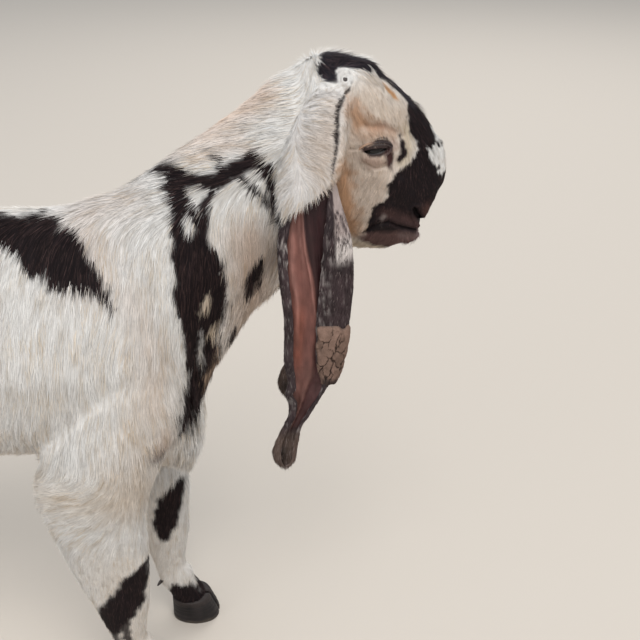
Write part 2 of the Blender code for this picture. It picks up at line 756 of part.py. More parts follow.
def ear_blade_mesh(sign):
    """The blade as a closed sheet: its section path at each height, given thickness
    along the normals of the surface."""
    rows = np.array(EAR)
    grid = np.array([[(x, y, row[0]) for x, y in ear_section(row)] for row in rows])
    down = np.gradient(grid, axis=0)
    across = np.gradient(grid, axis=1)
    normal = np.cross(across, down)
    normal /= np.linalg.norm(normal, axis=2, keepdims=True)
    half = EAR_THICKNESS / 2 * np.linspace(1.0, 0.62, len(rows))[:, None, None]
    faces = np.concatenate([grid + normal * half, (grid - normal * half)[:, ::-1]], axis=1)
    faces[:, :, 1] *= sign
    return mesh_of_grid("ear", faces * UNIT)


def level_rings(rows, sign, sides=18):
    """Rings that lie level or rise towards the front, from centres and half-sizes."""
    angle = np.linspace(0, 2 * math.pi, sides, endpoint=False)
    rings = []
    for (x, y, z), length, thick, rise in rows:
        dx = length * np.cos(angle)
        dy = thick * np.sin(angle)
        rings.append(np.stack([x + dx, sign * (y + dy), z + rise * dx], axis=-1))
    return np.array(rings) * UNIT


def build_ear(side, sign, nodes, spare, neighbours, rng):
    """A hanging ear: furred base, cup, and the blade with its folded front edge."""
    ear = bpy.data.objects.new(f"ear_{side}", ear_blade_mesh(sign))
    nodes.objects.link(ear)
    base = cutter("ear_base", level_rings(EAR_BASE, sign), spare)
    boolean(base, ear, "UNION")
    cup = cutter("ear_cup", ellipsoid_rings(*EAR_CUP, -6.0, sign), spare)
    boolean(base, cup, "DIFFERENCE")
    old = ear.data
    ear.data = base.data.copy()
    bpy.data.meshes.remove(old)
    remove(base, cup)
    fuse(ear, cuff_locks(sign, rng))
    fit_against(ear, neighbours, spare)
    return shown(ear, "ear_skin")


def build_horn_bud(side, sign, nodes, spare, neighbours):
    centre, radii = HORN_BUD
    bud = cutter("bud", ellipsoid_rings(centre, radii, 0.0, sign, 8, 12), nodes)
    bud.name = f"horn_bud_{side}"
    fit_against(bud, neighbours, spare)
    return shown(bud, "horn")


def claw_rings(centre_x, centre_y, facing, sides=10):
    """Rings of one claw: a half ellipse on its outer side, nearly flat at the cleft.
    The claw stands on the side of the leg that facing (+1 or -1) points to."""
    angle = np.linspace(-math.pi / 2, math.pi / 2, sides - 3)
    rings = []
    for height, shift, length, width in CLAW:
        z = min(height, CORONET_HEIGHT - GAP / UNIT / 2)
        outer = [(length * math.sin(a), CLEFT + (width - CLEFT) * math.cos(a) ** 0.8) for a in angle]
        inner = [(length * share, CLEFT) for share in (0.5, 0.0, -0.5)]
        rings.append(
            [(centre_x + shift + dx, centre_y + facing * dy, z) for dx, dy in outer + inner]
        )
    return np.array(rings) * UNIT


def build_hooves(nodes):
    """Two claws to each foot, each on a flat sole at the floor."""
    for leg, stations in (("fore", FORELEG), ("hind", HINDLEG)):
        for side, sign in SIDES.items():
            x, y, *_ = stations[-1]
            x += LEG_STEP[f"{leg}_{side}"]
            for claw, facing in (("inner", -sign), ("outer", sign)):
                hoof = cutter("hoof", claw_rings(x, sign * y, facing), nodes)
                hoof.name = f"hoof_{leg}_{side}_{claw}"
                shown(hoof, "horn")


def tail_rings(sides=12):
    """Rings of the tail, square to its middle line."""
    rows = smooth_rows(TAIL, TAIL_STEPS)
    tangent = np.gradient(rows[:, :2], axis=0)
    tangent /= np.linalg.norm(tangent, axis=1, keepdims=True)
    angle = np.linspace(0, 2 * math.pi, sides, endpoint=False)
    rings = []
    for (x, z, half_width, half_thick), (tx, tz) in zip(rows, tangent):
        off = half_thick * np.sin(angle)
        rings.append(np.stack([x - tz * off, half_width * np.cos(angle), z + tx * off], axis=-1))
    return np.array(rings) * UNIT


def build_tail(nodes, spare, torso, rng):
    tail = cutter("tail", tail_rings(), nodes)
    fuse(tail, combed_locks(tail_rings(), TAIL_STEPS, TAIL_LOCKS, tail, rng))
    fit_against(tail, [torso], spare)
    return shown(tail, "coat")


def unit(vector):
    vector = np.array(vector, float)
    return vector / max(1e-9, float(np.linalg.norm(vector)))


def lock_rings(root, lie, out, size, rng, tree=None):
    """Rings of one flat, tapered lock that starts inside its node and runs along
    its lie, in metres, from places in units. Over a tree it bends with that surface."""
    length = size.length * rng.uniform(0.8, 1.2)
    width = size.width * rng.uniform(0.8, 1.15)
    root, lie, out = np.array(root, float), unit(lie), unit(out)
    side = unit(np.cross(lie, out))
    lie = unit(lie + side * rng.uniform(-0.22, 0.22))
    rings = []
    for share in LOCK_SHARES:
        middle = root + lie * length * share
        if tree:
            middle, out = nearest(tree, middle)
            side = unit(np.cross(lie, out))
        middle = middle - out * LOCK_ROOT * (1 - share) ** 2
        middle = middle + out * size.lift * math.sin(2.6 * share)
        middle = middle - np.array([0.0, 0.0, size.droop * share**2])
        wide = side * width / 2 * max(0.07, (1 - share) ** 0.6 * (0.8 + 0.5 * share))
        flat = out * size.thick / 2 * max(0.12, 1 - share**2)
        rings.append([middle + wide, middle + flat, middle - wide, middle - flat])
    return np.array(rings) * UNIT


def surface_tree(obj):
    mesh = obj.data
    return BVHTree.FromPolygons([v.co for v in mesh.vertices], [p.vertices for p in mesh.polygons])


def nearest(tree, place):
    """The nearest point of a surface and the way out of it there, in units."""
    point, normal, _, _ = tree.find_nearest(Vector(np.array(place, float) * UNIT))
    return np.array(point) / UNIT, np.array(normal)


def combed_locks(rings, steps, patch, obj, rng):
    """The rings of a patch of locks on a loft with this many steps to each span.
    Each is rooted where a ray from the middle of the section leaves the node."""
    tree = surface_tree(obj)
    sides = rings.shape[1]
    locks = []
    for row in range(patch.rows):
        for column in range(patch.columns):
            along = (row + rng.uniform(0.15, 0.85)) / patch.rows
            turn = (column + 0.25 + 0.5 * (row % 2) + rng.uniform(-0.2, 0.2)) / patch.columns
            station = patch.stretch[0] + (patch.stretch[1] - patch.stretch[0]) * along
            angle = patch.arc[0] + (patch.arc[1] - patch.arc[0]) * turn
            ring = max(1, min(len(rings) - 2, round(station * steps)))
            spot = round(angle / 360.0 * sides) % sides
            middle = rings[ring].mean(axis=0)
            hit, normal, _, _ = tree.ray_cast(Vector(middle), Vector(unit(rings[ring][spot] - middle)))
            if hit is None:
                continue
            lie = unit(rings[ring + patch.towards][spot] - rings[ring][spot])
            out = np.array(normal)
            lie = lie - out * float(lie @ out)
            locks.append(lock_rings(np.array(hit) / UNIT, lie, out, patch.size, rng, tree))
    return locks


def fuse(obj, locks):
    """Join closed meshes to the object by one union."""
    bunch = new_collection("locks")
    for index, rings in enumerate(locks):
        cutter(f"lock_{index}", rings, bunch)
    join = obj.modifiers.new("locks", "BOOLEAN")
    join.operation = "UNION"
    join.solver = "MANIFOLD"
    join.operand_type = "COLLECTION"
    join.collection = bunch
    apply_modifiers(obj)
    remove(*bunch.objects)
    bpy.data.collections.remove(bunch)
    return keep_largest(obj)


def add_head_locks(head, rng):
    """The short locks of the crown, the arch of the nose and the chin."""
    tree = surface_tree(head)
    locks = []
    for places, lie, size in ((NOSE_TUFT, NOSE_LIE, NOSE_LOCK), (CHIN_TUFT, CHIN_LIE, CHIN_LOCK)):
        for place in places:
            root, out = nearest(tree, place)
            locks.append(lock_rings(root, lie, out, size, rng, tree))
    start, end, count = CROWN_ARC
    centre, _ = HORN_BUD
    for sign in SIDES.values():
        for index in range(count):
            angle = math.radians(start + (end - start) * index / (count - 1))
            lie = (math.cos(angle), -sign * 0.25, math.sin(angle) * 0.4 - 0.3)
            root = (centre[0] + 0.9 * lie[0], sign * (centre[1] - 0.3), centre[2] + 0.9 * lie[2])
            locks.append(lock_rings(root, lie, (0.2, sign * 0.75, 0.65), CROWN_LOCK, rng))
    fuse(head, locks)


def cuff_locks(sign, rng):
    """The fringe of white locks that hangs from the furred base of the ear."""
    (x, y, z), length, thick, rise = EAR_BASE[-1]
    start, end, count = CUFF_ARC
    locks = []
    for index in range(count):
        angle = math.radians(start + (end - start) * index / (count - 1))
        dx = 0.9 * length * math.cos(angle)
        root = (x + dx, sign * (y + 0.9 * thick * math.sin(angle)), z + rise * dx + 0.9)
        out = (0.3 * math.cos(angle), sign, 0.0)
        locks.append(lock_rings(root, (0.1, 0.0, -1.0), out, CUFF_LOCK, rng))
    return locks


def stand_at_origin(nodes):
    """Move every mesh so that the origin is below the middle of the whole box."""
    corners = np.array([vertex.co for obj in nodes.objects for vertex in obj.data.vertices])
    low, high = corners.min(axis=0), corners.max(axis=0)
    middle = (low + high) / 2
    for obj in nodes.objects:
        obj.data.transform(Matrix.Translation((-middle[0], -middle[1], -low[2])))


def main():
    clear_scene()
    rng = random.Random(LOCK_SEED)
    nodes = new_collection("goat")
    spare = new_collection("cutters")
    bodies = fine_bodies(spare)
    torso = build_trunk(nodes, spare, bodies, rng)
    neck = build_neck(nodes, bodies, rng)
    head = build_head(nodes, spare, bodies)
    add_head_locks(head, rng)
    for side, sign in SIDES.items():
        ear = build_ear(side, sign, nodes, spare, [head, neck], rng)
        build_eye(side, sign, nodes)
        build_horn_bud(side, sign, nodes, spare, [head, ear])
    build_hooves(nodes)
    build_tail(nodes, spare, torso, rng)
    remove(*bodies.values())
    for obj in nodes.objects:
        if not obj.data.materials:
            obj.data.materials.append(material("coat"))
    stand_at_origin(nodes)


main()
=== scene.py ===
"""A life-size Mewati goat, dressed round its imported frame.

All shapes are worked out in the model's own units, 77 to 0.75 m, with +X forward, +Y to
the animal's left and +Z up. Place turns them into metres.
"""

from __future__ import annotations

import logging
import math
from collections.abc import Callable, Iterator
from contextlib import contextmanager
from dataclasses import dataclass, field
from enum import Enum

import bmesh
import bpy
import numpy as np
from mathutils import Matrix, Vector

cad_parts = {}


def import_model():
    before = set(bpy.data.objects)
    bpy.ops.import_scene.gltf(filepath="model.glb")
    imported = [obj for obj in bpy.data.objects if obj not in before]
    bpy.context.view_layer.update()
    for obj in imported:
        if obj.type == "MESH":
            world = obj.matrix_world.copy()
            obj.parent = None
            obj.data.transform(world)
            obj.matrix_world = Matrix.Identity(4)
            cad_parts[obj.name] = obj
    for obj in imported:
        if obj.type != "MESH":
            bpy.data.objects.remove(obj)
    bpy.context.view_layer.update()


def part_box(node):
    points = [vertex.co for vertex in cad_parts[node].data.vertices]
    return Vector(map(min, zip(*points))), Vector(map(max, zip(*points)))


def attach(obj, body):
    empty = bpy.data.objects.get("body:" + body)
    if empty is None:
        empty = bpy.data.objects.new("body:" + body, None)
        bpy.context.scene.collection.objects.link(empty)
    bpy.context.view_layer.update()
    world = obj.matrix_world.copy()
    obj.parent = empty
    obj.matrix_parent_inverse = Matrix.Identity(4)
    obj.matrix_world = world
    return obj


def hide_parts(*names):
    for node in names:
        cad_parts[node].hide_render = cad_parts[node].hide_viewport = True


LOG = logging.getLogger("goat")

UNIT = 0.75 / 77.0
HOOF_TOE = -20.0
SIDES = {"right": -1.0, "left": 1.0}
BAKE_MAP = "OFBake"
TINT = "tint"
CELL_PRIMES = (73856093, 19349663, 83492791)


@dataclass(frozen=True)
class Place:
    """Where the model's own origin stands in the frame, in metres along X."""

    forward: float

    def metres(self, points: np.ndarray) -> np.ndarray:
        """Points in units as metres in the frame."""
        return points * UNIT + np.array([self.forward, 0.0, 0.0])

    def units(self, points: np.ndarray) -> np.ndarray:
        """Points in metres in the frame as units."""
        return (points - np.array([self.forward, 0.0, 0.0])) / UNIT


def smoothstep(low: float, high: float, value: np.ndarray) -> np.ndarray:
    """0 below low, 1 above high, and 3t^2 - 2t^3 between.

    Args:
        low: where the step starts; it may be above high, which turns the step round.
        high: where the step ends.
        value: the values to step.

    Returns:
        The steps, from 0 to 1.
    """
    share = np.clip((value - low) / (high - low), 0.0, 1.0)
    return share * share * (3.0 - 2.0 * share)


def unit_rows(vectors: np.ndarray) -> np.ndarray:
    """Each row of an array of vectors, brought to length one."""
    return vectors / np.maximum(np.linalg.norm(vectors, axis=-1, keepdims=True), 1e-9)


def mixed(first: object, second: object, share: np.ndarray) -> np.ndarray:
    """The first value where the share is 0, the second where it is 1, and between."""
    return np.asarray(first) * (1 - share) + np.asarray(second) * share


def mirrored(points: np.ndarray) -> np.ndarray:
    """The points with those of the right side brought over to the left."""
    return np.stack([points[:, 0], np.abs(points[:, 1]), points[:, 2]], axis=-1)


def circle(count: int) -> np.ndarray:
    """Even angles once round, in radians."""
    return np.linspace(0, 2 * math.pi, count, endpoint=False)


def hump(away: np.ndarray, width: float) -> np.ndarray:
    """An even hump, exp(-(away / width)^2)."""
    return np.exp(-((away / width) ** 2))


def lattice(cells: np.ndarray, seed: int) -> np.ndarray:
    """A repeatable value from 0 to 1 for each whole-number cell of space.

    Args:
        cells: whole numbers, (n, 3).
        seed: picks the pattern.

    Returns:
        One value for each cell.
    """
    x, y, z = (cells[..., i].astype(np.int64) * CELL_PRIMES[i] for i in range(3))
    value = x ^ y ^ z ^ (seed * 2654435761)
    value = ((value ^ (value >> 13)) * 1274126177) & 0x7FFFFFFF
    value = ((value ^ (value >> 16)) * 668265263) & 0x7FFFFFFF
    return value / float(0x7FFFFFFF)


def noise(points: np.ndarray, size: float, seed: int = 0) -> np.ndarray:
    """Smooth noise from -1 to 1: the lattice's values, blended with smooth steps
    between the eight corners of each point's cell.

    Args:
        points: places in units, (n, 3).
        size: width of a cell.
        seed: picks the pattern.

    Returns:
        One value for each point.
    """
    scaled = points / size
    base = np.floor(scaled)
    part = scaled - base
    part = part * part * (3.0 - 2.0 * part)
    total = np.zeros(points.shape[:-1])
    for corner in np.ndindex(2, 2, 2):
        offset = np.array(corner)
        weight = np.prod(np.where(offset == 1, part, 1.0 - part), axis=-1)
        total += weight * lattice(base + offset, seed)
    return total * 2.0 - 1.0


def strands(points: np.ndarray, lies: np.ndarray, size: float, reach: float, seed: int) -> np.ndarray:
    """Streaks from about -1 to 1 that run along the lie: the mean of fine noise over
    nine steps of a short walk each way, so that places in line share most of it.

    Args:
        points: places in units, (n, 3).
        lies: unit vectors, (n, 3).
        size: width of a streak.
        reach: how far the walk goes each way.
        seed: picks the pattern.

    Returns:
        One value for each point.
    """
    steps = np.linspace(-reach, reach, 9)
    total = sum(noise(points + lies * step, size, seed) for step in steps)
    return np.clip(total / 9.0 * 3.2, -1.6, 1.6)


def smooth_rows(rows: object, steps: int) -> np.ndarray:
    """Rows on a Catmull-Rom curve through the given rows.

    Args:
        rows: the rows to pass through.
        steps: how many rows each span is divided into.

    Returns:
        The finer rows, ends included.
    """
    rows = np.asarray(rows, float)
    padded = np.vstack([2 * rows[0] - rows[1], rows, 2 * rows[-1] - rows[-2]])
    share = (np.arange(steps) / steps)[:, None]
    spans = [
        0.5
        * (
            2 * b
            + (c - a) * share
            + (2 * a - 5 * b + 4 * c - d) * share**2
            + (3 * b - 3 * c + d - a) * share**3
        )
        for a, b, c, d in zip(padded, padded[1:], padded[2:], padded[3:])
    ]
    return np.vstack([*spans, rows[-1:]])


def path_distance(points: np.ndarray, path: object) -> np.ndarray:
    """How far each point lies outside a path that has its own half-width at each of
    its points: the distance to the nearest segment less the width there.

    Args:
        points: places, (n, k).
        path: rows of k coordinates and a half-width.

    Returns:
        One signed distance for each point, negative inside.
    """
    path = np.atleast_2d(np.asarray(path, float))
    if len(path) == 1:
        path = np.vstack([path, path])
    best = np.full(len(points), 1e9)
    for start, end in zip(path, path[1:]):
        along = end[:-1] - start[:-1]
        length = float(along @ along)
        share = np.clip(((points - start[:-1]) @ along) / max(length, 1e-9), 0.0, 1.0)
        nearest = start[:-1] + share[:, None] * along
        width = start[-1] + share * (end[-1] - start[-1])
        best = np.minimum(best, np.linalg.norm(points - nearest, axis=1) - width)
    return best


def _operator(operation: str, reflected: bool = False) -> Callable:
    """One of Wire's operators.

    Args:
        operation: what its Math node does.
        reflected: whether the wire stands on the operator's right.

    Returns:
        The method.
    """

    def method(wire: "Wire", other: object) -> "Wire":
        """A Math node on this wire and the other value or wire."""
        return wire.math(operation, *((other, wire) if reflected else (wire, other)))

    return method


class Wire:
    """A socket of a shader, on which Python's operators add Math nodes."""

    def __init__(self, tree: bpy.types.NodeTree, socket: bpy.types.NodeSocket) -> None:
        """Wrap a socket of a tree."""
        self.tree = tree
        self.socket = socket

    def math(self, operation: str, left: object, right: object) -> "Wire":
        """A Math node on two values or wires.

        Args:
            operation: the node's operation.
            left: the first value or wire.
            right: the second value or wire.

        Returns:
            The node's result.
        """
        node = self.tree.nodes.new("ShaderNodeMath")
        node.operation = operation
        for entry, value in zip(node.inputs, (left, right)):
            if isinstance(value, Wire):
                self.tree.links.new(value.socket, entry)
            else:
                entry.default_value = float(value)
        return Wire(self.tree, node.outputs[0])

    __add__, __radd__ = _operator("ADD"), _operator("ADD", True)
    __sub__, __rsub__ = _operator("SUBTRACT"), _operator("SUBTRACT", True)
    __mul__, __rmul__ = _operator("MULTIPLY"), _operator("MULTIPLY", True)
    __pow__, __rpow__ = _operator("POWER"), _operator("POWER", True)


class Shader:
    """One material and the nodes that feed its Principled shader."""

    def __init__(self, name: str, **constants: object) -> None:
        """Start a material.

        Args:
            name: the material's name.
            constants: Principled sockets, with _ for a space, and their values.
        """
        self.material = bpy.data.materials.new(name)
        self.material.use_nodes = True
        self.tree = self.material.node_tree
        self.surface = self.tree.nodes["Principled BSDF"]
        for socket, value in constants.items():
            self.surface.inputs[socket.replace("_", " ")].default_value = value

    def node(self, kind: str, settings: dict, inputs: dict, output: object = 0) -> Wire:
        """Add any node.

        Args:
            kind: the node's type without its ShaderNode prefix.
            settings: its properties.
            inputs: values or wires for its sockets, by name or number.
            output: the socket to give back, by name or number.

        Returns:
            The wanted output.
        """
        node = self.tree.nodes.new("ShaderNode" + kind)
        for key, value in settings.items():
            setattr(node, key, value)
        for key, value in inputs.items():
            if isinstance(value, Wire):
                self.tree.links.new(value.socket, node.inputs[key])
            else:
                node.inputs[key].default_value = value
        return Wire(self.tree, node.outputs[output])

    def place(self) -> Wire:
        """Object coordinates, in metres."""
        return self.node("TexCoord", {}, {}, "Object")

    def noise(self, scale: float, detail: float = 3.0, stretch: tuple = (1, 1, 1)) -> Wire:
        """A noise texture's value on object coordinates.

        Args:
            scale: cells to a metre.
            detail: octaves.
            stretch: factors on the coordinates.

        Returns:
            The texture's value, about 0.5 in the middle.
        """
        mapped = self.node("Mapping", {}, {"Vector": self.place(), "Scale": stretch})
        return self.node("TexNoise", {}, {"Vector": mapped, "Scale": scale, "Detail": detail})

    def tint(self) -> Wire:
        """The colour that the mesh carries."""
        return self.node("Attribute", {"attribute_name": TINT}, {}, "Color")

    def mix(self, factor: object, first: object, second: object, blend: str = "MIX") -> Wire:
        """Mix two colours.

        Args:
            factor: value or wire.
            first: colour or wire.
            second: colour or wire.
            blend: the way of mixing.

        Returns:
            The mixed colour.
        """
        settings = {"data_type": "RGBA", "blend_type": blend}
        return self.node("Mix", settings, {0: factor, 6: first, 7: second}, 2)

    def bump(self, height: Wire, distance: float, strength: float = 1.0) -> None:
        """Raise the surface by a height, in metres at full strength."""
        inputs = {"Height": height, "Distance": distance, "Strength": strength}
        self.feed("Normal", self.node("Bump", {}, inputs, "Normal"))

    def feed(self, socket: str, wire: Wire) -> None:
        """Link a wire to a socket of the surface."""
        self.tree.links.new(wire.socket, self.surface.inputs[socket])


class Finish(Enum):
    """The finishes of the model, each with the record's slot that it stands for."""

    COAT = "coat"
    HIDE = "hide"
    EAR = "ear_skin"
    EYE = "eyeball"
    LID = "dark_skin"
    HOOF = "hoof_horn"
    BUD = "bud_horn"
    MUD = "dry_mud"

    @property
    def slot(self) -> str:
        """The record's material slot."""
        return "coat" if self is Finish.HIDE else self.value


@dataclass(frozen=True)
class Grain:
    """One noise of a finish: cells to a metre, octaves, stretch, and share in the shade."""

    scale: float
    detail: float
    stretch: tuple
    share: float


@dataclass(frozen=True)
class Recipe:
    """A finish: the mesh's own colour times a shade, which is a level plus its grains;
    bump is the height and strength that the same shade gives the surface, and rough
    how the first grain changes the roughness."""

    name: str
    level: float = 1.0
    grains: tuple = ()
    bump: tuple = ()
    rough: tuple = ()
    constants: tuple = ()

    def make(self) -> bpy.types.Material:
        """The finish's material."""
        shader = Shader(self.name, **dict(self.constants))
        if not self.grains:
            shader.feed("Base Color", shader.tint())
            return shader.material
        noises = [shader.noise(grain.scale, grain.detail, grain.stretch) for grain in self.grains]
        shade = noises[0] * self.grains[0].share + self.level
        for value, grain in zip(noises[1:], self.grains[1:]):
            shade = shade + value * grain.share
        grey = shader.node("CombineColor", {}, {0: shade, 1: shade, 2: shade})
        shader.feed("Base Color", shader.mix(1.0, shader.tint(), grey, "MULTIPLY"))
        if self.bump:
            shader.bump(shade, *self.bump)
        if self.rough:
            shader.feed("Roughness", noises[0] * self.rough[0] + self.rough[1])
        return shader.material


EVEN = (1.0, 1.0, 1.0)
RECIPES = {
    Finish.COAT: Recipe(
        "coat_hair", 0.85, (Grain(60.0, 2.0, EVEN, 0.30),),
        constants=(("Roughness", 0.68), ("Specular_IOR_Level", 0.13)),
    ),
    Finish.HIDE: Recipe(
        "hide", 0.82, (Grain(900.0, 4.0, (1.0, 1.0, 0.35), 0.35),), (0.0010, 0.8),
        constants=(("Roughness", 0.74), ("Specular_IOR_Level", 0.15)),
    ),
    Finish.EAR: Recipe(
        "ear_skin", 0.42,
        (Grain(110.0, 4.0, (1.0, 1.0, 0.5), 0.70), Grain(420.0, 5.0, (1.0, 1.0, 0.16), 0.45)),
        (0.0014, 0.9), (0.25, 0.40), (("Specular_IOR_Level", 0.3),),
    ),
    Finish.EYE: Recipe(
        "eyeball", constants=(("Roughness", 0.08), ("Specular_IOR_Level", 0.2), ("Coat_Weight", 0.4),
                               ("Coat_Roughness", 0.02)),
    ),
    Finish.LID: Recipe(
        "lid_skin", 0.70, (Grain(1100.0, 4.0, EVEN, 0.60),), (0.0005, 0.8),
        constants=(("Roughness", 0.46), ("Specular_IOR_Level", 0.4)),
    ),
    Finish.HOOF: Recipe(
        "hoof_horn", 0.35,
        (Grain(260.0, 3.0, (1.0, 1.0, 0.12), 0.70), Grain(120.0, 3.0, (0.15, 0.15, 3.0), 0.50)),
        (0.0009, 0.9), (0.3, 0.42), (("Specular_IOR_Level", 0.3),),
    ),
    Finish.BUD: Recipe("bud_horn", 0.2, (Grain(500.0, 4.0, EVEN, 1.4),), (0.0006, 0.9),
                       constants=(("Roughness", 0.6),)),
    Finish.MUD: Recipe(
        "dry_mud", 0.50,
        (Grain(700.0, 5.0, EVEN, 0.60), Grain(180.0, 3.0, (1.0, 1.0, 0.4), 0.40)), (0.0014, 1.0),
        constants=(("Roughness", 0.9), ("Specular_IOR_Level", 0.15)),
    ),
}


@dataclass
class Finishes:
    """Makes each finish's material once and gives it to the pieces."""

    made: dict = field(default_factory=dict)

    def get(self, finish: Finish) -> bpy.types.Material:
        """The material of a finish."""
        if finish not in self.made:
            self.made[finish] = RECIPES[finish].make()
        return self.made[finish]

    def piece(
        self, name: str, mesh: bpy.types.Mesh, colours: np.ndarray, finish: Finish
    ) -> bpy.types.Object:
        """A mesh as a piece of the scene.

        Args:
            name: the piece's name.
            mesh: its mesh.
            colours: one for each vertex, (n, 3).
            finish: what it is made of.

        Returns:
            The piece.
        """
        set_tint(mesh, colours)
        mesh.materials.append(self.get(finish))
        return add_object(name, mesh)


def mesh_from(name: str, points: np.ndarray, faces: np.ndarray, smooth: bool = True) -> bpy.types.Mesh:
    """A mesh from arrays.

    Args:
        name: the mesh's name.
        points: vertices, (n, 3).
        faces: corners, (m, k), with k the same for every face.
        smooth: whether its faces are shaded smooth.

    Returns:
        The mesh.
    """
    mesh = bpy.data.meshes.new(name)
    mesh.vertices.add(len(points))
    mesh.vertices.foreach_set("co", np.ascontiguousarray(points, np.float32).ravel())
    mesh.loops.add(faces.size)
    mesh.loops.foreach_set("vertex_index", np.ascontiguousarray(faces, np.int32).ravel())
    mesh.polygons.add(len(faces))
    starts = np.arange(0, faces.size, faces.shape[1], dtype=np.int32)
    mesh.polygons.foreach_set("loop_start", starts)
    mesh.update(calc_edges=True)
    if smooth:
        mesh.shade_smooth()
    return mesh


def add_object(name: str, mesh: bpy.types.Mesh) -> bpy.types.Object:
    """An object at the origin, in the scene."""
    obj = bpy.data.objects.new(name, mesh)
    bpy.context.scene.collection.objects.link(obj)
    return obj


def grid_faces(rows: int, columns: int, closed: bool, offset: int = 0) -> np.ndarray:
    """Quads of a grid of points, wrapped round its columns where it is closed.

    Args:
        rows: rows of points.
        columns: points in a row.
        closed: whether the last column joins the first.
        offset: index of the grid's first point.

    Returns:
        Faces, (m, 4).
    """
    index = np.arange(rows * columns).reshape(rows, columns) + offset
    after = np.roll(index, -1, axis=1)
    if not closed:
        index, after = index[:, :-1], after[:, :-1]
    return np.stack([index[:-1], after[:-1], after[1:], index[1:]], axis=-1).reshape(-1, 4)


@contextmanager
def edited(mesh: bpy.types.Mesh) -> Iterator:
    """The mesh opened as a BMesh, which is written back where the block ends."""
    work = bmesh.new()
    work.from_mesh(mesh)
    yield work
    work.to_mesh(mesh)
    work.free()


def closed_tube(name: str, rings: np.ndarray) -> bpy.types.Mesh:
    """A closed surface from rings of points, each end drawn in to its middle.

    Args:
        name: the mesh's name.
        rings: points, (rows, sides, 3).

    Returns:
        The mesh, facing outwards.
    """
    rows, sides = rings.shape[:2]
    ends = rings[[0, -1]].mean(axis=1)
    points = np.vstack([rings.reshape(-1, 3), ends])
    index = np.arange(rows * sides).reshape(rows, sides)
    quads = grid_faces(rows, sides, True)
    tris = np.vstack([quads[:, [0, 1, 2]], quads[:, [0, 2, 3]]])
    fans = []
    for ring, middle, step in ((index[0], rows * sides, 1), (index[-1], rows * sides + 1, -1)):
        fans.append(np.stack([np.full(sides, middle), np.roll(ring, -step), ring], axis=-1))
    mesh = mesh_from(name, points, np.vstack([tris, *fans]))
    with edited(mesh) as work:
        bmesh.ops.recalc_face_normals(work, faces=work.faces)
        if work.calc_volume(signed=True) < 0:
            bmesh.ops.reverse_faces(work, faces=work.faces)
    return mesh


def vertices_of(mesh: bpy.types.Mesh) -> np.ndarray:
    """The mesh's vertices, (n, 3)."""
    points = np.empty(len(mesh.vertices) * 3, np.float32)
    mesh.vertices.foreach_get("co", points)
    return points.reshape(-1, 3).astype(float)


def normals_of(mesh: bpy.types.Mesh) -> np.ndarray:
    """The mesh's vertex normals, (n, 3)."""
    normals = np.empty(len(mesh.vertices) * 3, np.float32)
    mesh.vertex_normals.foreach_get("vector", normals)
    return normals.reshape(-1, 3).astype(float)


def set_vertices(mesh: bpy.types.Mesh, points: np.ndarray) -> None:
    """Move the mesh's vertices."""
    mesh.vertices.foreach_set("co", np.ascontiguousarray(points, np.float32).ravel())
    mesh.update()


def set_tint(mesh: bpy.types.Mesh, colours: np.ndarray) -> None:
    """Give the mesh its colours, one for each vertex, (n, 3)."""
    layer = mesh.attributes.new(TINT, "FLOAT_COLOR", "POINT")
    rgba = np.ones((len(colours), 4), np.float32)
    rgba[:, :3] = colours
    layer.data.foreach_set("color", rgba.ravel())


def apply_modifiers(obj: bpy.types.Object) -> bpy.types.Object:
    """Replace the object's mesh by its evaluated mesh."""
    graph = bpy.context.evaluated_depsgraph_get()
    made = bpy.data.meshes.new_from_object(obj.evaluated_get(graph))
    old = obj.data
    obj.modifiers.clear()
    obj.data = made
    bpy.data.meshes.remove(old)
    return obj


def boolean(obj: bpy.types.Object, other: bpy.types.Object, operation: str) -> bpy.types.Object:
    """Join or cut the object by another closed one, which is then removed.

    Args:
        obj: the object that changes.
        other: the tool.
        operation: UNION or DIFFERENCE.

    Returns:
        The changed object.
    """
    change = obj.modifiers.new("join", "BOOLEAN")
    change.operation = operation
    change.solver = "MANIFOLD"
    change.object = other
    apply_modifiers(obj)
    bpy.data.objects.remove(other, do_unlink=True)
    return obj


def merged(rings: list, voxel: float, passes: int) -> bpy.types.Object:
    """One smooth closed surface round all the lofts.

    Args:
        rings: the lofts' rings.
        voxel: size of the new faces, in units.
        passes: how often the surface is smoothed.

    Returns:
        The object, still in units.
    """
    objects = [add_object(f"loft_{i}", closed_tube(f"loft_{i}", r)) for i, r in enumerate(rings)]
    body = objects[0]
    for other in objects[1:]:
        boolean(body, other, "UNION")
    fine = body.modifiers.new("fine", "REMESH")
    fine.mode = "VOXEL"
    fine.voxel_size = voxel
    soft = body.modifiers.new("soft", "SMOOTH")
    soft.factor = 0.5
    soft.iterations = passes
    return apply_modifiers(body)


def sliced(obj: bpy.types.Object, cut: tuple, keep_front: bool, shift: float) -> bpy.types.Object:
    """Cut a closed surface by a plane that holds the Y axis, and close the cut.

    Args:
        obj: the surface.
        cut: two points (x, z) of the plane.
        keep_front: which side stays.
        shift: how far forward of the plane the cut lies.

    Returns:
        The object.
    """
    normal = cut_normal(cut)
    point = np.array([cut[0][0], 0.0, cut[0][1]]) + normal * shift
    away = -normal if keep_front else normal
    with edited(obj.data) as work:
        geometry = [*work.verts, *work.edges, *work.faces]
        bmesh.ops.bisect_plane(
            work, geom=geometry, dist=1e-6, plane_co=point, plane_no=away, clear_outer=True
        )
        rim = [edge for edge in work.edges if edge.is_boundary]
        bmesh.ops.triangle_fill(work, edges=rim, use_beauty=True, use_dissolve=False)
        bmesh.ops.recalc_face_normals(work, faces=work.faces)
    return obj


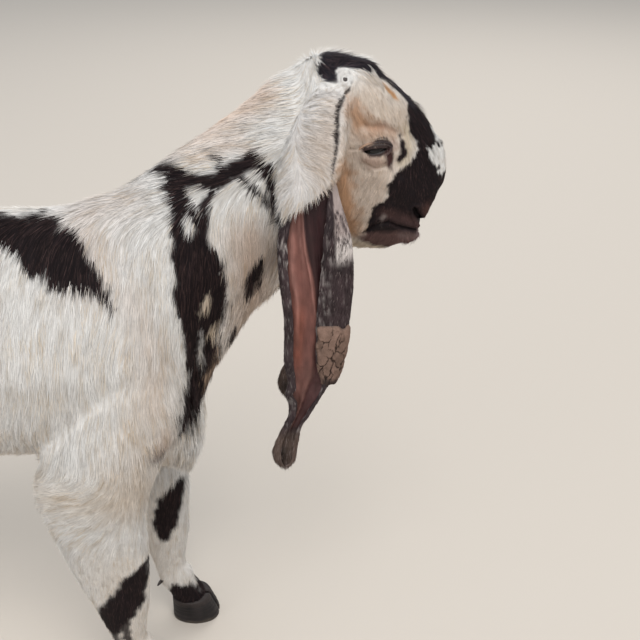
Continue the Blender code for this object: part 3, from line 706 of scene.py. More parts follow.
def cut_normal(cut: tuple) -> np.ndarray:
    """The forward-facing normal of a plane given by two points (x, z)."""
    (x0, z0), (x1, z1) = cut
    normal = np.array([z0 - z1, 0.0, x1 - x0])
    return normal / np.linalg.norm(normal) * np.sign(normal[0])


def ahead_of(points: np.ndarray, cut: tuple) -> np.ndarray:
    """How far each point lies forward of a plane given by two points (x, z)."""
    return (points - np.array([cut[0][0], 0.0, cut[0][1]])) @ cut_normal(cut)


HEAD_CUT = ((-2.4, 92.0), (3.6, 63.0))
NECK_CUT = ((-22.0, 79.0), (-14.4, 40.0))
# The body's surface ends this far ahead of the head's cut and the head's starts further
# back; both sink under each other there, above a height that leaves out the chest.
BODY_END, HEAD_END = -5.2, -8.2
JOIN_DIVE, JOIN_FLOOR = 0.5, 50.0


@dataclass
class Frame:
    """The animal's form: stations of each loft, in units.

    A body station is its upper point (x, z), its lower point (x, z) and five side
    radii at 30, 60, 90, 120 and 150 degrees. A leg station is its centre x, distance
    from the mid-plane and height, and its half-lengths fore-and-aft and sideways.
    """

    torso: tuple = (
        ((-15.5, 55.0), (-16.5, 41.0), (3.8, 3.8, 3.7, 3.6, 3.6)),
        ((-17.0, 66.0), (-18.0, 36.0), (6.6, 7.2, 7.6, 7.4, 6.6)),
        ((-20.0, 73.5), (-21.5, 35.2), (6.2, 8.2, 9.4, 9.2, 7.6)),
        ((-24.5, 74.7), (-27.0, 36.0), (5.4, 8.2, 10.4, 10.4, 8.6)),
        ((-31.0, 72.8), (-34.0, 37.6), (7.0, 9.4, 11.4, 11.6, 10.0)),
        ((-40.0, 72.4), (-42.0, 38.4), (9.0, 11.2, 12.8, 13.0, 11.6)),
        ((-50.0, 72.0), (-51.0, 38.2), (10.4, 12.2, 13.8, 14.2, 12.8)),
        ((-60.0, 72.6), (-60.0, 39.2), (10.8, 12.2, 13.8, 14.2, 12.6)),
        ((-69.0, 73.6), (-69.0, 41.6), (11.0, 11.6, 12.6, 12.6, 11.0)),
        ((-77.0, 74.0), (-76.0, 45.4), (11.4, 11.2, 10.8, 10.2, 8.8)),
        ((-84.0, 72.0), (-81.0, 49.0), (10.8, 10.2, 9.8, 9.0, 7.8)),
        ((-89.0, 69.0), (-86.0, 53.0), (8.6, 8.6, 8.2, 7.4, 6.4)),
        ((-92.5, 65.0), (-90.5, 58.0), (4.6, 4.8, 4.8, 4.6, 4.2)),
    )
    neck: tuple = (
        ((-28.0, 73.0), (-20.0, 40.0), (5.6, 7.2, 8.6, 8.4, 7.0)),
        ((-22.0, 76.0), (-17.5, 44.0), (4.8, 6.6, 8.0, 7.8, 6.4)),
        ((-17.0, 79.4), (-14.3, 50.5), (4.6, 6.0, 6.9, 6.8, 5.6)),
        ((-12.0, 82.8), (-11.0, 56.0), (4.6, 5.8, 6.3, 6.0, 5.0)),
        ((-7.5, 86.2), (-8.0, 60.4), (4.9, 5.8, 6.0, 5.6, 4.6)),
        ((-4.5, 88.6), (-4.0, 63.6), (5.2, 5.8, 5.9, 5.4, 4.4)),
        ((-1.5, 89.6), (0.5, 65.6), (5.2, 5.6, 5.6, 5.0, 4.2)),
        ((1.5, 89.0), (4.0, 67.0), (4.6, 5.0, 5.0, 4.4, 3.8)),
    )
    head: tuple = (
        ((-2.6, 88.6), (-0.5, 79.0), (4.4, 4.4, 4.0, 3.6, 3.2)),
        ((0.2, 90.2), (0.6, 74.5), (5.6, 5.4, 5.0, 4.6, 4.2)),
        ((3.6, 89.8), (1.4, 71.2), (6.0, 5.5, 5.0, 4.8, 4.6)),
        ((6.4, 88.9), (2.2, 69.4), (6.2, 5.5, 5.0, 4.8, 4.6)),
        ((9.0, 86.8), (3.0, 68.2), (5.8, 5.5, 4.9, 4.6, 4.6)),
        ((11.2, 84.6), (4.3, 67.6), (4.6, 4.7, 4.6, 4.4, 4.4)),
        ((12.9, 82.2), (5.6, 67.4), (4.0, 4.0, 4.0, 4.0, 4.0)),
        ((13.9, 80.0), (6.9, 67.4), (3.7, 3.6, 3.6, 3.6, 3.6)),
        ((14.3, 77.7), (8.1, 67.5), (3.4, 3.2, 3.2, 3.3, 3.4)),
        ((14.0, 75.5), (9.3, 67.8), (3.2, 3.1, 3.1, 3.1, 3.2)),
        ((13.2, 73.6), (10.3, 68.3), (2.9, 2.9, 2.9, 2.8, 2.9)),
        ((12.4, 72.2), (11.2, 69.0), (2.2, 2.3, 2.3, 2.2, 2.2)),
    )
    foreleg: tuple = (
        (-24.0, 5.6, 56.0, 6.4, 3.6),
        (-25.0, 6.8, 49.0, 8.0, 4.6),
        (-27.5, 7.7, 42.5, 8.2, 5.0),
        (-29.3, 8.0, 37.0, 7.6, 4.7),
        (-29.5, 7.9, 31.5, 6.7, 4.1),
        (-28.9, 7.7, 26.0, 5.9, 3.6),
        (-28.4, 7.5, 21.0, 5.0, 3.2),
        (-27.8, 7.5, 17.5, 4.2, 3.1),
        (-27.6, 7.5, 14.5, 3.4, 2.8),
        (-27.4, 7.5, 11.5, 2.7, 2.4),
        (-27.1, 7.5, 9.0, 2.5, 2.3),
        (-26.3, 7.5, 6.9, 2.8, 2.6),
        (-25.2, 7.5, 5.2, 2.7, 2.6),
        (-24.4, 7.5, 3.4, 3.0, 2.9),
    )
    hindleg: tuple = (
        (-80.0, 5.8, 67.0, 9.0, 4.2),
        (-79.0, 7.4, 59.5, 11.2, 5.6),
        (-77.6, 8.7, 52.0, 11.2, 5.8),
        (-77.2, 9.2, 45.5, 9.4, 5.2),
        (-79.2, 8.9, 39.5, 7.2, 4.3),
        (-82.6, 8.5, 34.0, 5.4, 3.5),
        (-86.0, 8.2, 29.5, 4.4, 2.9),
        (-87.8, 8.0, 26.0, 4.1, 2.7),
        (-87.8, 7.9, 22.0, 3.2, 2.5),
        (-87.4, 7.8, 17.0, 2.6, 2.3),
        (-87.1, 7.8, 12.5, 2.4, 2.2),
        (-86.6, 7.8, 9.2, 2.5, 2.3),
        (-85.6, 7.8, 7.0, 2.8, 2.6),
        (-84.4, 7.8, 5.2, 2.7, 2.6),
        (-83.6, 7.8, 3.4, 3.0, 2.9),
    )
    tail: tuple = (
        (-88.5, 65.8, 2.8, 2.4),
        (-91.5, 67.6, 2.8, 2.2),
        (-94.1, 69.6, 2.6, 1.9),
        (-95.6, 72.2, 2.3, 1.6),
        (-95.9, 75.0, 1.8, 1.2),
        (-95.3, 77.4, 0.9, 0.7),
    )
    ear_base: tuple = (
        ((1.3, 3.2, 88.2), 1.3, 1.1, 0.0),
        ((0.9, 4.8, 87.2), 2.0, 1.3, 0.0),
        ((0.2, 5.9, 85.4), 2.8, 1.6, 0.05),
        ((-0.5, 6.8, 82.6), 3.4, 1.8, 0.1),
        ((-1.1, 7.6, 79.8), 3.6, 1.95, 0.2),
        ((-1.5, 8.2, 77.6), 3.6, 2.15, 0.45),
        ((-1.7, 8.5, 76.2), 3.4, 2.05, 0.72),
    )
    masses: tuple = (
        ((5.4, 3.0, 82.3), (3.3, 2.3, 1.9), 20.0),
        ((1.4, 2.9, 76.6), (3.4, 2.5, 5.2), -14.0),
        ((11.0, 1.1, 72.4), (1.9, 1.9, 1.7), 0.0),
        ((10.9, 0.7, 69.1), (1.5, 1.9, 1.1), -25.0),
        ((6.1, 3.85, 80.8), (2.45, 1.86, 1.95), -10.0),
    )
    steps: dict = field(
        default_factory=lambda: {
            "fore_right": 0.0, "fore_left": 3.6, "hind_right": 0.0, "hind_left": 5.0,
        }
    )

    @staticmethod
    def body_rings(stations: tuple, steps: int, sides: int) -> np.ndarray:
        """Rings of a body loft: a section runs from its upper to its lower point as
        (1 - cos a) / 2, and out to the side as its radius times sin a.

        Args:
            stations: the loft's stations.
            steps: rings to each span.
            sides: points in a ring.

        Returns:
            Points, (rings, sides, 3).
        """
        rows = smooth_rows([(*top, *bottom, *radii) for top, bottom, radii in stations], steps)
        angle = circle(sides)
        around = np.minimum(angle, 2 * math.pi - angle)
        known = np.radians([0, 30, 60, 90, 120, 150, 180])
        radii = np.concatenate([rows[:, 4:5], rows[:, 4:9], rows[:, 8:9]], axis=1)
        radius = np.array([np.interp(around, known, row) for row in radii])
        share = (1 - np.cos(angle)) / 2
        x = rows[:, 0:1] + (rows[:, 2:3] - rows[:, 0:1]) * share
        z = rows[:, 1:2] + (rows[:, 3:4] - rows[:, 1:2]) * share
        return np.stack([x, radius * np.sin(angle), z], axis=-1)

    def stations(self, leg: str) -> tuple:
        """The stations of a fore or hind leg."""
        return self.foreleg if leg == "fore" else self.hindleg

    def leg_rings(self, leg: str, side: str) -> np.ndarray:
        """Rings of a leg: level ellipses round its stations, moved forward by its step.

        Args:
            leg: fore or hind.
            side: left or right.

        Returns:
            Points, (rings, sides, 3).
        """
        rows = smooth_rows(self.stations(leg), 5)
        angle = circle(28)
        x = rows[:, 0:1] + self.leg_shift(leg, side, rows[:, 2:3]) + rows[:, 3:4] * np.cos(angle)
        y = SIDES[side] * rows[:, 1:2] + rows[:, 4:5] * np.sin(angle)
        return np.stack([x, y, np.repeat(rows[:, 2:3], len(angle), axis=1)], axis=-1)

    def leg_shift(self, leg: str, side: str, height: np.ndarray) -> np.ndarray:
        """How far forward a leg stands at a height: its step, from none at 56 up to
        all of it at 26 and below."""
        return self.steps[f"{leg}_{side}"] * np.clip((56.0 - height) / 30.0, 0, 1)

    def tail_rings(self) -> np.ndarray:
        """Rings of the tail, square to its middle line."""
        rows = smooth_rows(self.tail, 3)
        tangent = unit_rows(np.gradient(rows[:, :2], axis=0))
        angle = circle(18)
        off = rows[:, 3:4] * np.sin(angle)
        across = rows[:, 2:3] * np.cos(angle)
        x, z = rows[:, 0:1] - tangent[:, 1:2] * off, rows[:, 1:2] + tangent[:, 0:1] * off
        return np.stack([x, across, z], axis=-1)

    def ear_base_rings(self, sign: float) -> np.ndarray:
        """Rings of the furred base of an ear, level or rising towards the front."""
        flat = smooth_rows([(*centre, *rest) for centre, *rest in self.ear_base], 3)
        angle = circle(24)
        dx = flat[:, 3:4] * np.cos(angle)
        y = sign * (flat[:, 1:2] + flat[:, 4:5] * np.sin(angle))
        return np.stack([flat[:, 0:1] + dx, y, flat[:, 2:3] + flat[:, 5:6] * dx], axis=-1)

    @staticmethod
    def ellipsoid(centre: tuple, radii: tuple, pitch: float, sign: float, rows: int = 24) -> np.ndarray:
        """Rings of an ellipsoid pitched about Y.

        Args:
            centre: its middle, on the left side.
            radii: half-sizes.
            pitch: in degrees.
            sign: side of the animal.
            rows: rings from end to end.

        Returns:
            Points, (rows, sides, 3).
        """
        latitude = np.linspace(0.02, 0.98, rows)[:, None] * math.pi
        angle = circle(32)
        x = -np.cos(latitude) * np.ones_like(angle) * radii[0]
        y = np.sin(latitude) * np.cos(angle) * radii[1]
        z = np.sin(latitude) * np.sin(angle) * radii[2]
        turn = math.radians(pitch)
        across = x * math.cos(turn) + z * math.sin(turn)
        up = z * math.cos(turn) - x * math.sin(turn)
        return np.stack([across + centre[0], sign * (y + centre[1]), up + centre[2]], axis=-1)


WHITE = (0.80, 0.775, 0.745)
CREAM = (0.70, 0.585, 0.465)
BLUSH = (0.74, 0.56, 0.45)
TAN = (0.44, 0.245, 0.135)
ORANGE = (0.50, 0.27, 0.13)
BLACK = (0.010, 0.006, 0.007)
# Black hair of the crown, tinted bluish and lifted by a painted sheen of the sky.
CROWN_BLACK_PAINTED_SHEEN = (0.018, 0.015, 0.020)
SOOT = (0.045, 0.028, 0.027)
UMBER = (0.16, 0.085, 0.060)
LIP = (0.118, 0.066, 0.060)
GREY_SKIN = (0.036, 0.023, 0.021)
PINK_SKIN = (0.40, 0.24, 0.19)
EAR_WHITE = (0.70, 0.665, 0.64)


@dataclass(frozen=True)
class Patch:
    """A marking along a middle line.

    A row is (x, z, half-width) for a marking seen from the side, or (x, y, z,
    half-width) for one placed on the surface, with y given for the left side.
    """

    colour: tuple
    rows: tuple
    side: str = "both"
    soft: float = 0.3
    ragged: float = 0.45
    grain: float = 1.1
    strength: float = 1.0

    def away(self, points: np.ndarray) -> np.ndarray:
        """How far each point lies outside the marking, in units."""
        seen = points[:, [0, 2]]
        if len(self.rows[0]) == 4:
            seen = points * np.array([1.0, SIDES.get(self.side, 1.0), 1.0])
            if self.side == "both":
                seen = mirrored(points)
        return path_distance(seen, self.rows)

    def mask(self, points: np.ndarray, seed: int) -> np.ndarray:
        """How much of the marking each point has: the step of its distance from the
        line, shifted by noise where the edge runs.

        Args:
            points: places in units.
            seed: picks the noise.

        Returns:
            Shares from 0 to 1.
        """
        away = self.away(points)
        edge = np.abs(away) < self.ragged + self.soft
        rough = noise(points[edge], self.grain, seed) * 0.65 + noise(points[edge], 0.4, seed) * 0.35
        away[edge] += self.ragged * rough
        share = smoothstep(self.soft, -self.soft, away)
        if self.side != "both" and len(self.rows[0]) == 3:
            share = share * smoothstep(-0.2, 0.2, points[:, 1] * SIDES[self.side])
        return share * self.strength


@dataclass(frozen=True)
class Band(Patch):
    """A marking between two edges: a row is (z, rear x, front x), from the top down."""

    def away(self, points: np.ndarray) -> np.ndarray:
        """How far each point lies outside the band, in units."""
        height, rear, front = np.array(self.rows)[::-1].T
        x, z = points[:, 0], points[:, 2]
        low, high = np.interp(z, height, rear), np.interp(z, height, front)
        return np.maximum.reduce([low - x, x - high, z - height[-1], height[0] - z])


@dataclass(frozen=True)
class Markings:
    """The coat's colours: warm tones first, then the black, then what lies over it."""

    tones: tuple = (
        Patch(BLUSH, ((-19, 79.5, 1.0), (-12, 83.5, 2.0), (-6.5, 86.5, 1.4)), soft=1.8, strength=0.8),
        Patch(BLUSH, ((-14.5, 79.0, 0.4), (-9.0, 81.5, 0.6), (-6.0, 78.5, 0.3)), soft=1.2, strength=0.5),
        Patch((0.57, 0.43, 0.34), ((-8, 70, 2.5), (-8, 63, 2.5), (-11, 54, 1.5)), soft=3.0,
              strength=0.9),
        Patch(UMBER, ((-4.6, 70.0, 0.2), (-5.6, 67.0, 0.5)), soft=1.2, strength=0.6),
        Patch((0.62, 0.50, 0.42), ((-22, 64, 0.8), (-20.5, 58, 1.4), (-19.5, 50, 1.2)), soft=2.5,
              ragged=1.2, strength=0.55),
        Patch((0.62, 0.52, 0.465), ((-22, 74.5, 1.0), (-28, 72, 2.5), (-26, 66, 2.0)), soft=3.5,
              strength=0.6),
        Patch(TAN, ((-19.2, 47.0, 0.3), (-19.5, 44.0, 0.8)), soft=1.5, ragged=0.9, strength=0.5),
        Patch((0.60, 0.48, 0.38), ((-21, 52, 1.5), (-22, 45, 2.5), (-24, 37, 2.5)), soft=4.0, ragged=1.2,
              strength=0.5),
        Patch((0.63, 0.54, 0.45), ((-27, 24, 2.0), (-26, 6, 3.0)), soft=8.0, strength=0.8),
        Patch((0.63, 0.54, 0.45), ((-82, 36, 1.0), (-87, 20, 3.0), (-85, 6, 3.0)), soft=8.0,
              strength=0.75),
        Patch(CREAM, ((-24, 38, 2.0), (-45, 38, 1.5), (-68, 42, 1.5)), soft=5.0, strength=0.6),
    )
    face: tuple = (
        Patch((0.53, 0.415, 0.32), ((5.4, 86.2, 2.2), (8.6, 84.2, 2.0), (9.4, 81.4, 1.0)), soft=2.0,
              strength=0.8),
        Patch((0.55, 0.43, 0.34), ((4.6, 79, 4.6), (4.4, 72, 3.6)), soft=2.5, strength=0.85),
        Patch(TAN, ((2.9, 86.5, 0.4), (3.5, 85.2, 0.95), (4.6, 84.1, 0.85), (6.0, 83.2, 0.55)),
              soft=1.0, ragged=0.8, grain=0.8, strength=0.85),
        Patch(TAN, ((4.6, 84.2, 0.3), (4.0, 82.9, 0.4)), soft=1.0, ragged=0.6, strength=0.5),
        Patch((0.36, 0.20, 0.13), ((5.6, 83.3, 0.2), (6.9, 83.4, 0.4), (8.2, 82.8, 0.3)),
              soft=0.6, ragged=0.5, strength=0.85),
        Patch((0.47, 0.31, 0.215), ((4.8, 82.5, 0.5), (6.2, 82.8, 0.4), (7.8, 82.5, 0.35)),
              soft=0.9, ragged=0.4, strength=0.8),
        Patch(TAN, ((2.6, 80.2, 0.2), (2.4, 77.7, 1.2), (2.7, 74.0, 1.5), (3.6, 71.2, 1.1)),
              soft=1.3, ragged=1.1, grain=0.8, strength=0.95),
        Patch(ORANGE, ((7.0, 2.3, 87.6, 0.16), (7.7, 2.4, 86.9, 0.32), (8.4, 2.5, 86.0, 0.26)),
              soft=0.25, ragged=0.3, grain=0.5),
        Patch((0.52, 0.42, 0.26), ((9.6, 83.0, 0.4), (9.9, 81.0, 0.5), (9.2, 79.2, 0.4)),
              soft=0.7, ragged=0.4, strength=0.5),
        Patch(PINK_SKIN, ((4.9, 79.9, 0.4), (6.2, 79.6, 0.6), (7.2, 79.6, 0.4)), soft=0.6,
              ragged=0.6, grain=0.5, strength=0.5),
        Patch((0.42, 0.30, 0.25), ((8.0, 82.0, 0.25), (8.3, 81.1, 0.35)), soft=0.4, ragged=0.4,
              grain=0.4, strength=0.65),
        Patch((0.15, 0.095, 0.080), ((4.85, 81.2, 0.25), (5.6, 81.1, 0.55), (6.5, 81.2, 0.6),
                                     (7.2, 81.4, 0.45)), soft=0.3, ragged=0.25, grain=0.5, strength=0.9),
        Patch(BLACK, ((8.8, 82.3, 0.14), (9.05, 81.7, 0.26), (9.25, 80.9, 0.38), (9.2, 80.2, 0.38),
                      (8.75, 79.75, 0.3)), soft=0.2, ragged=0.3, grain=0.5),
        Patch((0.060, 0.027, 0.025), ((7.35, 81.7, 0.2), (7.55, 80.8, 0.48), (7.68, 79.9, 0.42),
                                      (7.7, 79.1, 0.16)), soft=0.25, ragged=0.3, grain=0.5),
        # Painted shade: a thin black line along the fold over the upper lid.
        Patch(BLACK, ((6.0, 82.2, 0.02), (6.8, 82.42, 0.08), (7.35, 82.2, 0.1), (7.75, 81.7, 0.12),
                      (7.85, 81.1, 0.1)), soft=0.12, ragged=0.1, grain=0.4, strength=0.9),
        Patch(SOOT, ((7.9, 79.4, 0.05), (8.0, 78.5, 0.02)), soft=0.25, ragged=0.2, strength=0.7),
    )
    black_face: tuple = (
        Patch(BLACK, ((10.5, 85.9, 0.7), (11.6, 84.6, 1.5)), soft=0.2, ragged=0.3, grain=0.6),
        Band(BLACK, ((85.4, 9.9, 14.0), (84.4, 9.6, 14.5), (83.0, 9.8, 15), (81.7, 10.5, 15.5),
                     (80.5, 11.1, 15.5), (79.7, 10.5, 15.5), (79.1, 9.9, 15.5), (78.4, 8.9, 15.5),
                     (77.9, 8.1, 15.5), (76.7, 7.5, 15.5), (75.4, 7.5, 15.5), (74.5, 6.7, 15.5),
                     (73.9, 5.9, 15.5), (72.5, 5.7, 15.5), (70.9, 5.2, 15.5), (66.0, 5.2, 15.5)),
             soft=0.14, ragged=0.42, grain=0.55),
    )
    ridge: tuple = (
        Patch(WHITE, ((12.7, 0.5, 83.6, 0.5), (13.5, 0.5, 82.6, 0.85), (13.9, 0.5, 81.6, 0.9)),
              "both", 0.2, 0.3, 0.6),
        Patch(BLACK, ((13.75, 1.0, 81.6, 0.38), (13.85, 0.9, 80.9, 0.3)), "both", 0.2, 0.25, 0.5),
        Patch(WHITE, ((12.7, 2.2, 80.1, 0.4), (13.2, 1.7, 79.4, 1.1), (14.0, 0.6, 78.8, 1.7)),
              "both", 0.25, 0.75, 0.4),
        # The nose tip's brown: partly its own colour, partly a painted highlight on the rounded tip.
        Patch((0.105, 0.050, 0.040), ((12.4, 73.4, 0.5), (12.8, 72.4, 0.5)), soft=0.9, ragged=0.4,
              strength=0.75),
        Patch((0.068, 0.036, 0.033), ((11.6, 71.6, 0.7), (9.4, 72.5, 0.6), (7.4, 73.2, 0.5)),
              soft=0.8, ragged=0.5, strength=0.8),
        Patch(LIP, ((12.3, 69.2, 1.1), (9.8, 69.2, 1.4), (7.4, 69.4, 1.3), (5.4, 69.9, 0.7)), soft=0.5,
              ragged=0.4, strength=0.92),
        Patch((0.18, 0.13, 0.125), ((11.8, 69.6, 0.25), (9.6, 70.2, 0.3)), soft=0.6, strength=0.7),
        Patch((0.32, 0.26, 0.24), ((7.45, 3.9, 73.0, 0.05), (7.0, 3.8, 71.9, 0.15)), soft=0.3,
              ragged=0.5, grain=0.3, strength=0.5),
        Patch(CREAM, ((7.0, 1.2, 67.9, 0.7), (4.8, 1.6, 68.2, 1.1), (2.6, 1.6, 68.8, 1.2)), soft=0.5),
    )
    right: tuple = (
        Patch(BLACK, ((-19.6, 77.3, 0.4), (-17.3, 77.8, 0.6), (-14.5, 76.8, 0.7), (-11.9, 77.2, 0.8),
                      (-9.6, 78.6, 0.8), (-7.4, 79.9, 0.9), (-5.8, 78.6, 0.7), (-5.2, 76.7, 0.6),
                      (-4.7, 74.0, 0.5)), "right", ragged=0.3),
        Patch(BLACK, ((-11.0, 78.2, 0.6), (-12.3, 80.2, 0.3)), "right"),
        Patch(BLACK, ((-9.5, 78.3, 0.6), (-7.7, 76.7, 0.5), (-5.9, 75.3, 0.55), (-4.9, 74.4, 0.6)),
              "right", ragged=0.3),
        Band(BLACK, ((77.6, -17.9, -15.1), (75.0, -17.7, -14.7), (73.6, -17.2, -13.9),
                     (72.6, -17.2, -12.9), (70.5, -17.2, -12.6), (68.0, -17.2, -11.2),
                     (65.1, -17.0, -11.0), (62.1, -16.9, -11.2), (59.1, -16.6, -12.5),
                     (56.0, -16.3, -12.8), (51.5, -16.7, -13.6), (47.6, -17.5, -15.9),
                     (43.5, -18.3, -17.3)), "right", 0.3, 0.7, 0.8),
        Patch(BLACK, ((-13.2, 72.0, 0.6), (-13.2, 74.0, 0.6), (-12.2, 76.2, 0.4), (-10.6, 77.6, 0.45)),
              "right"),
        Patch(BLACK, ((-6.9, 67.4, 0.6), (-7.9, 64.8, 1.0), (-9.2, 62.4, 0.4)), "right"),
        Patch(BLACK, ((-11.0, 58.0, 0.3), (-11.6, 56.2, 0.6)), "right"),
        Patch(SOOT, ((-18.8, 43.4, 0.3), (-20.2, 43.2, 0.9)), "right", 0.9, 0.9, strength=0.7),
        Patch(BLACK, ((-24.0, 62.6, 0.2), (-26.6, 65.4, 1.2), (-29.7, 67.6, 2.85), (-33.0, 69.6, 2.8),
                      (-36.0, 70.4, 1.3), (-40.0, 70.4, 2.3), (-44.0, 69.8, 1.4)), "right", 0.3, 0.8),
        Patch(BLACK, ((-60.0, 66.5, 2.4), (-65.5, 63.0, 4.4), (-67.5, 57.0, 4.0), (-63.0, 53.0, 2.2)),
              "right", 0.4, 1.1),
        Patch(BLACK, ((-88.0, 66.0, 2.4), (-86.5, 59.0, 2.8), (-83.5, 52.5, 1.4)), "right", 0.4, 0.9),
        Patch(BLACK, ((-23.6, 25.0, 0.5), (-25.0, 22.6, 1.7), (-26.4, 19.2, 2.3), (-28.6, 16.6, 2.2),
                      (-29.2, 14.0, 1.3)), "right", 0.3, 0.5),
        Patch(BLACK, ((-27.4, 15.0, 0.8), (-26.8, 11.0, 0.4), (-26.6, 8.6, 0.1)), "right", 0.3, 0.9,
              strength=0.92),
        Patch(BLACK, ((-28.8, 13.0, 0.5), (-28.3, 9.4, 0.1)), "right", 0.3, 0.7, strength=0.9),
        Patch(BLACK, ((-88.0, 27.0, 1.8), (-88.2, 22.5, 1.4)), "right", 0.4, 0.7),
        Patch(BLACK, ((-26.5, 5.0, 1.6), (-24.0, 3.5, 2.0)), "right", 0.4, 0.7, strength=0.85),
    )
    right_white: tuple = (
        Patch(WHITE, ((-14.3, 75.8, 0.45), (-14.15, 74.8, 0.25)), "right", 0.25, 0.35),
        Patch(WHITE, ((-15.3, 72.9, 0.3), (-14.8, 71.8, 0.5)), "right", 0.25, 0.3),
        Patch(CREAM, ((-13.2, 63.6, 0.25), (-13.7, 61.6, 0.4)), "right", 0.25, 0.5, 0.6),
        Patch(CREAM, ((-13.0, 59.0, 0.3), (-13.6, 57.4, 0.35)), "right", 0.25, 0.5, 0.6),
        Patch(WHITE, ((-14.4, 58.4, 0.05), (-14.7, 56.0, 0.2), (-15.0, 53.6, 0.2), (-15.3, 52.0, 0.05)),
              "right", 0.3, 0.5, 0.6, 0.8),
        Patch((0.50, 0.36, 0.26), ((-13.2, 55.8, 0.05), (-14.0, 52.5, 0.2), (-15.6, 50.0, 0.1)),
              "right", 0.3, 0.5, 0.6, 0.7),
    )
    left: tuple = (
        Patch(BLACK, ((-21.0, 76.5, 0.8), (-21.5, 71.5, 2.0), (-19.5, 65.5, 2.6), (-17.8, 59.5, 1.8),
                      (-18.3, 53.0, 1.3), (-20.0, 47.0, 0.8)), "left"),
        Patch(BLACK, ((-10.0, 79.0, 0.8), (-8.6, 74.0, 2.0), (-8.2, 68.5, 2.2), (-9.6, 63.5, 0.9)),
              "left"),
        Patch(BLACK, ((-21.0, 73.5, 0.7), (-15.5, 76.5, 0.6), (-10.5, 78.0, 0.7)), "left"),
        Patch(BLACK, ((-46.0, 71.0, 2.6), (-52.0, 67.5, 4.6), (-55.5, 62.5, 3.4), (-50.0, 58.5, 2.6)),
              "left", 0.4, 1.1),
        Patch(BLACK, ((-76.0, 69.0, 2.6), (-81.0, 64.5, 4.4), (-83.5, 57.0, 3.0)), "left", 0.4, 1.1),
        Patch(BLACK, ((-20.6, 27.4, 0.8), (-22.6, 24.0, 1.8), (-23.4, 20.0, 1.8), (-23.6, 17.9, 1.0)),
              "left", 0.3, 0.5),
        Patch(BLACK, ((-22.6, 6.8, 1.2), (-22.0, 5.2, 2.4), (-21.0, 3.4, 3.0)), "left", 0.35, 0.6),
        Patch(BLACK, ((-83.0, 27.0, 1.3), (-83.4, 23.0, 1.6)), "left", 0.4, 0.7),
        Patch(BLACK, ((-81.5, 6.5, 2.2), (-79.0, 3.6, 2.4)), "left", 0.4, 0.7),
    )
    crown: tuple = (
        Patch(CROWN_BLACK_PAINTED_SHEEN, ((0.6, -0.9, 90.2, 0.8), (1.6, -1.0, 90.2, 1.6), (3.6, -1.0, 90.0, 1.4),
                            (5.8, -0.8, 89.2, 0.95), (8.9, -0.8, 86.8, 0.7), (10.4, -0.9, 85.3, 0.9)),
              "left", 0.2, 0.4, 0.6),
        Patch(CROWN_BLACK_PAINTED_SHEEN, ((1.0, 1.4, 89.8, 1.0), (0.8, 2.4, 89.2, 1.0), (1.3, 3.5, 88.4, 0.6)),
              "right", 0.2, 0.45, 0.6),
        Patch(WHITE, ((2.7, 3.3, 88.5, 1.0),), "right", 0.15, 0.3, 0.5),
        Patch((0.16, 0.145, 0.145), tuple(
            (2.65 + (0.20 + 0.045 * step) * math.cos(0.6 * step),
             88.5 + (0.20 + 0.045 * step) * math.sin(0.6 * step), 0.06) for step in range(18)
        ), "right", 0.16, 0.12, 0.4, 0.5),
        Patch(BLACK, ((-93.0, 0.0, 70.5, 1.6), (-96.0, 0.0, 74.0, 1.5)), "left", 0.4, 0.6),
    )

    parting: tuple = (
        Patch((0.60, 0.50, 0.425), ((1.4, 6.6, 86.0, 0.9), (0.3, 8.6, 82.6, 1.7), (0.2, 9.4, 79.4, 1.2)),
              soft=1.6, ragged=0.6, strength=0.75),
        # Painted shadow: a thin black line in the parting, where the ear's root stands off the face.
        Patch(BLACK, ((3.43, 88.1, 0.04), (3.05, 87.3, 0.13), (2.35, 86.8, 0.20), (1.92, 86.0, 0.24),
                      (1.80, 85.0, 0.22), (1.78, 83.5, 0.25), (1.70, 81.8, 0.20), (1.45, 80.4, 0.08),
                      (1.30, 79.2, 0.02)), soft=0.13, ragged=0.08, grain=0.4, strength=0.96),
    )

    def paint(self, points: np.ndarray) -> np.ndarray:
        """The coat's colour at places on the animal.

        Args:
            points: places in units.

        Returns:
            Colours, (n, 3).
        """
        colours = np.tile(np.array(WHITE), (len(points), 1))
        face = smoothstep(0.0, 1.2, ahead_of(points, HEAD_CUT))
        torso = 1.0 - face
        for patches, room in (
            (self.tones, torso),
            (self.face, face),
            (self.black_face, face),
            (self.ridge, face),
            (self.right, torso),
            (self.right_white, torso),
            (self.left, torso),
            (self.crown, 1.0),
        ):
            colours = self.over(colours, points, patches, room)
        ear = (1.0 - smoothstep(-0.2, 0.5, ear_base_distance(points)))[:, None]
        ear = ear * smoothstep(4.4, 5.4, np.abs(points[:, 1:2]))
        colours = mixed(colours, EAR_WHITE, ear)
        return self.over(colours, points, self.parting, smoothstep(3.0, 3.6, np.abs(points[:, 1])))

    @staticmethod
    def over(colours: np.ndarray, points: np.ndarray, patches: tuple, room: object) -> np.ndarray:
        """Colours with patches laid over them, each within its room."""
        for number, patch in enumerate(patches):
            share = (patch.mask(points, number) * room)[:, None]
            colours = mixed(colours, patch.colour, share)
        return colours


def ear_base_distance(points: np.ndarray) -> np.ndarray:
    """Distance outside the furred bases of the ears."""
    rows = [(x, y, z, (length + thick) / 2) for (x, y, z), length, thick, _ in Frame.ear_base]
    return path_distance(mirrored(points), rows)


def lid_room(points: np.ndarray) -> np.ndarray:
    """Distance outside the bare skin of the lids, seen from the side."""
    rims = (((4.95, 81.25, 0.12), (5.6, 81.1, 0.42), (6.5, 81.1, 0.44), (7.2, 81.35, 0.18)),
            ((6.2, 81.6, 0.1), (6.8, 81.72, 0.24), (7.35, 81.45, 0.12)))
    return np.minimum(*(path_distance(points[:, [0, 2]], rim) for rim in rims))


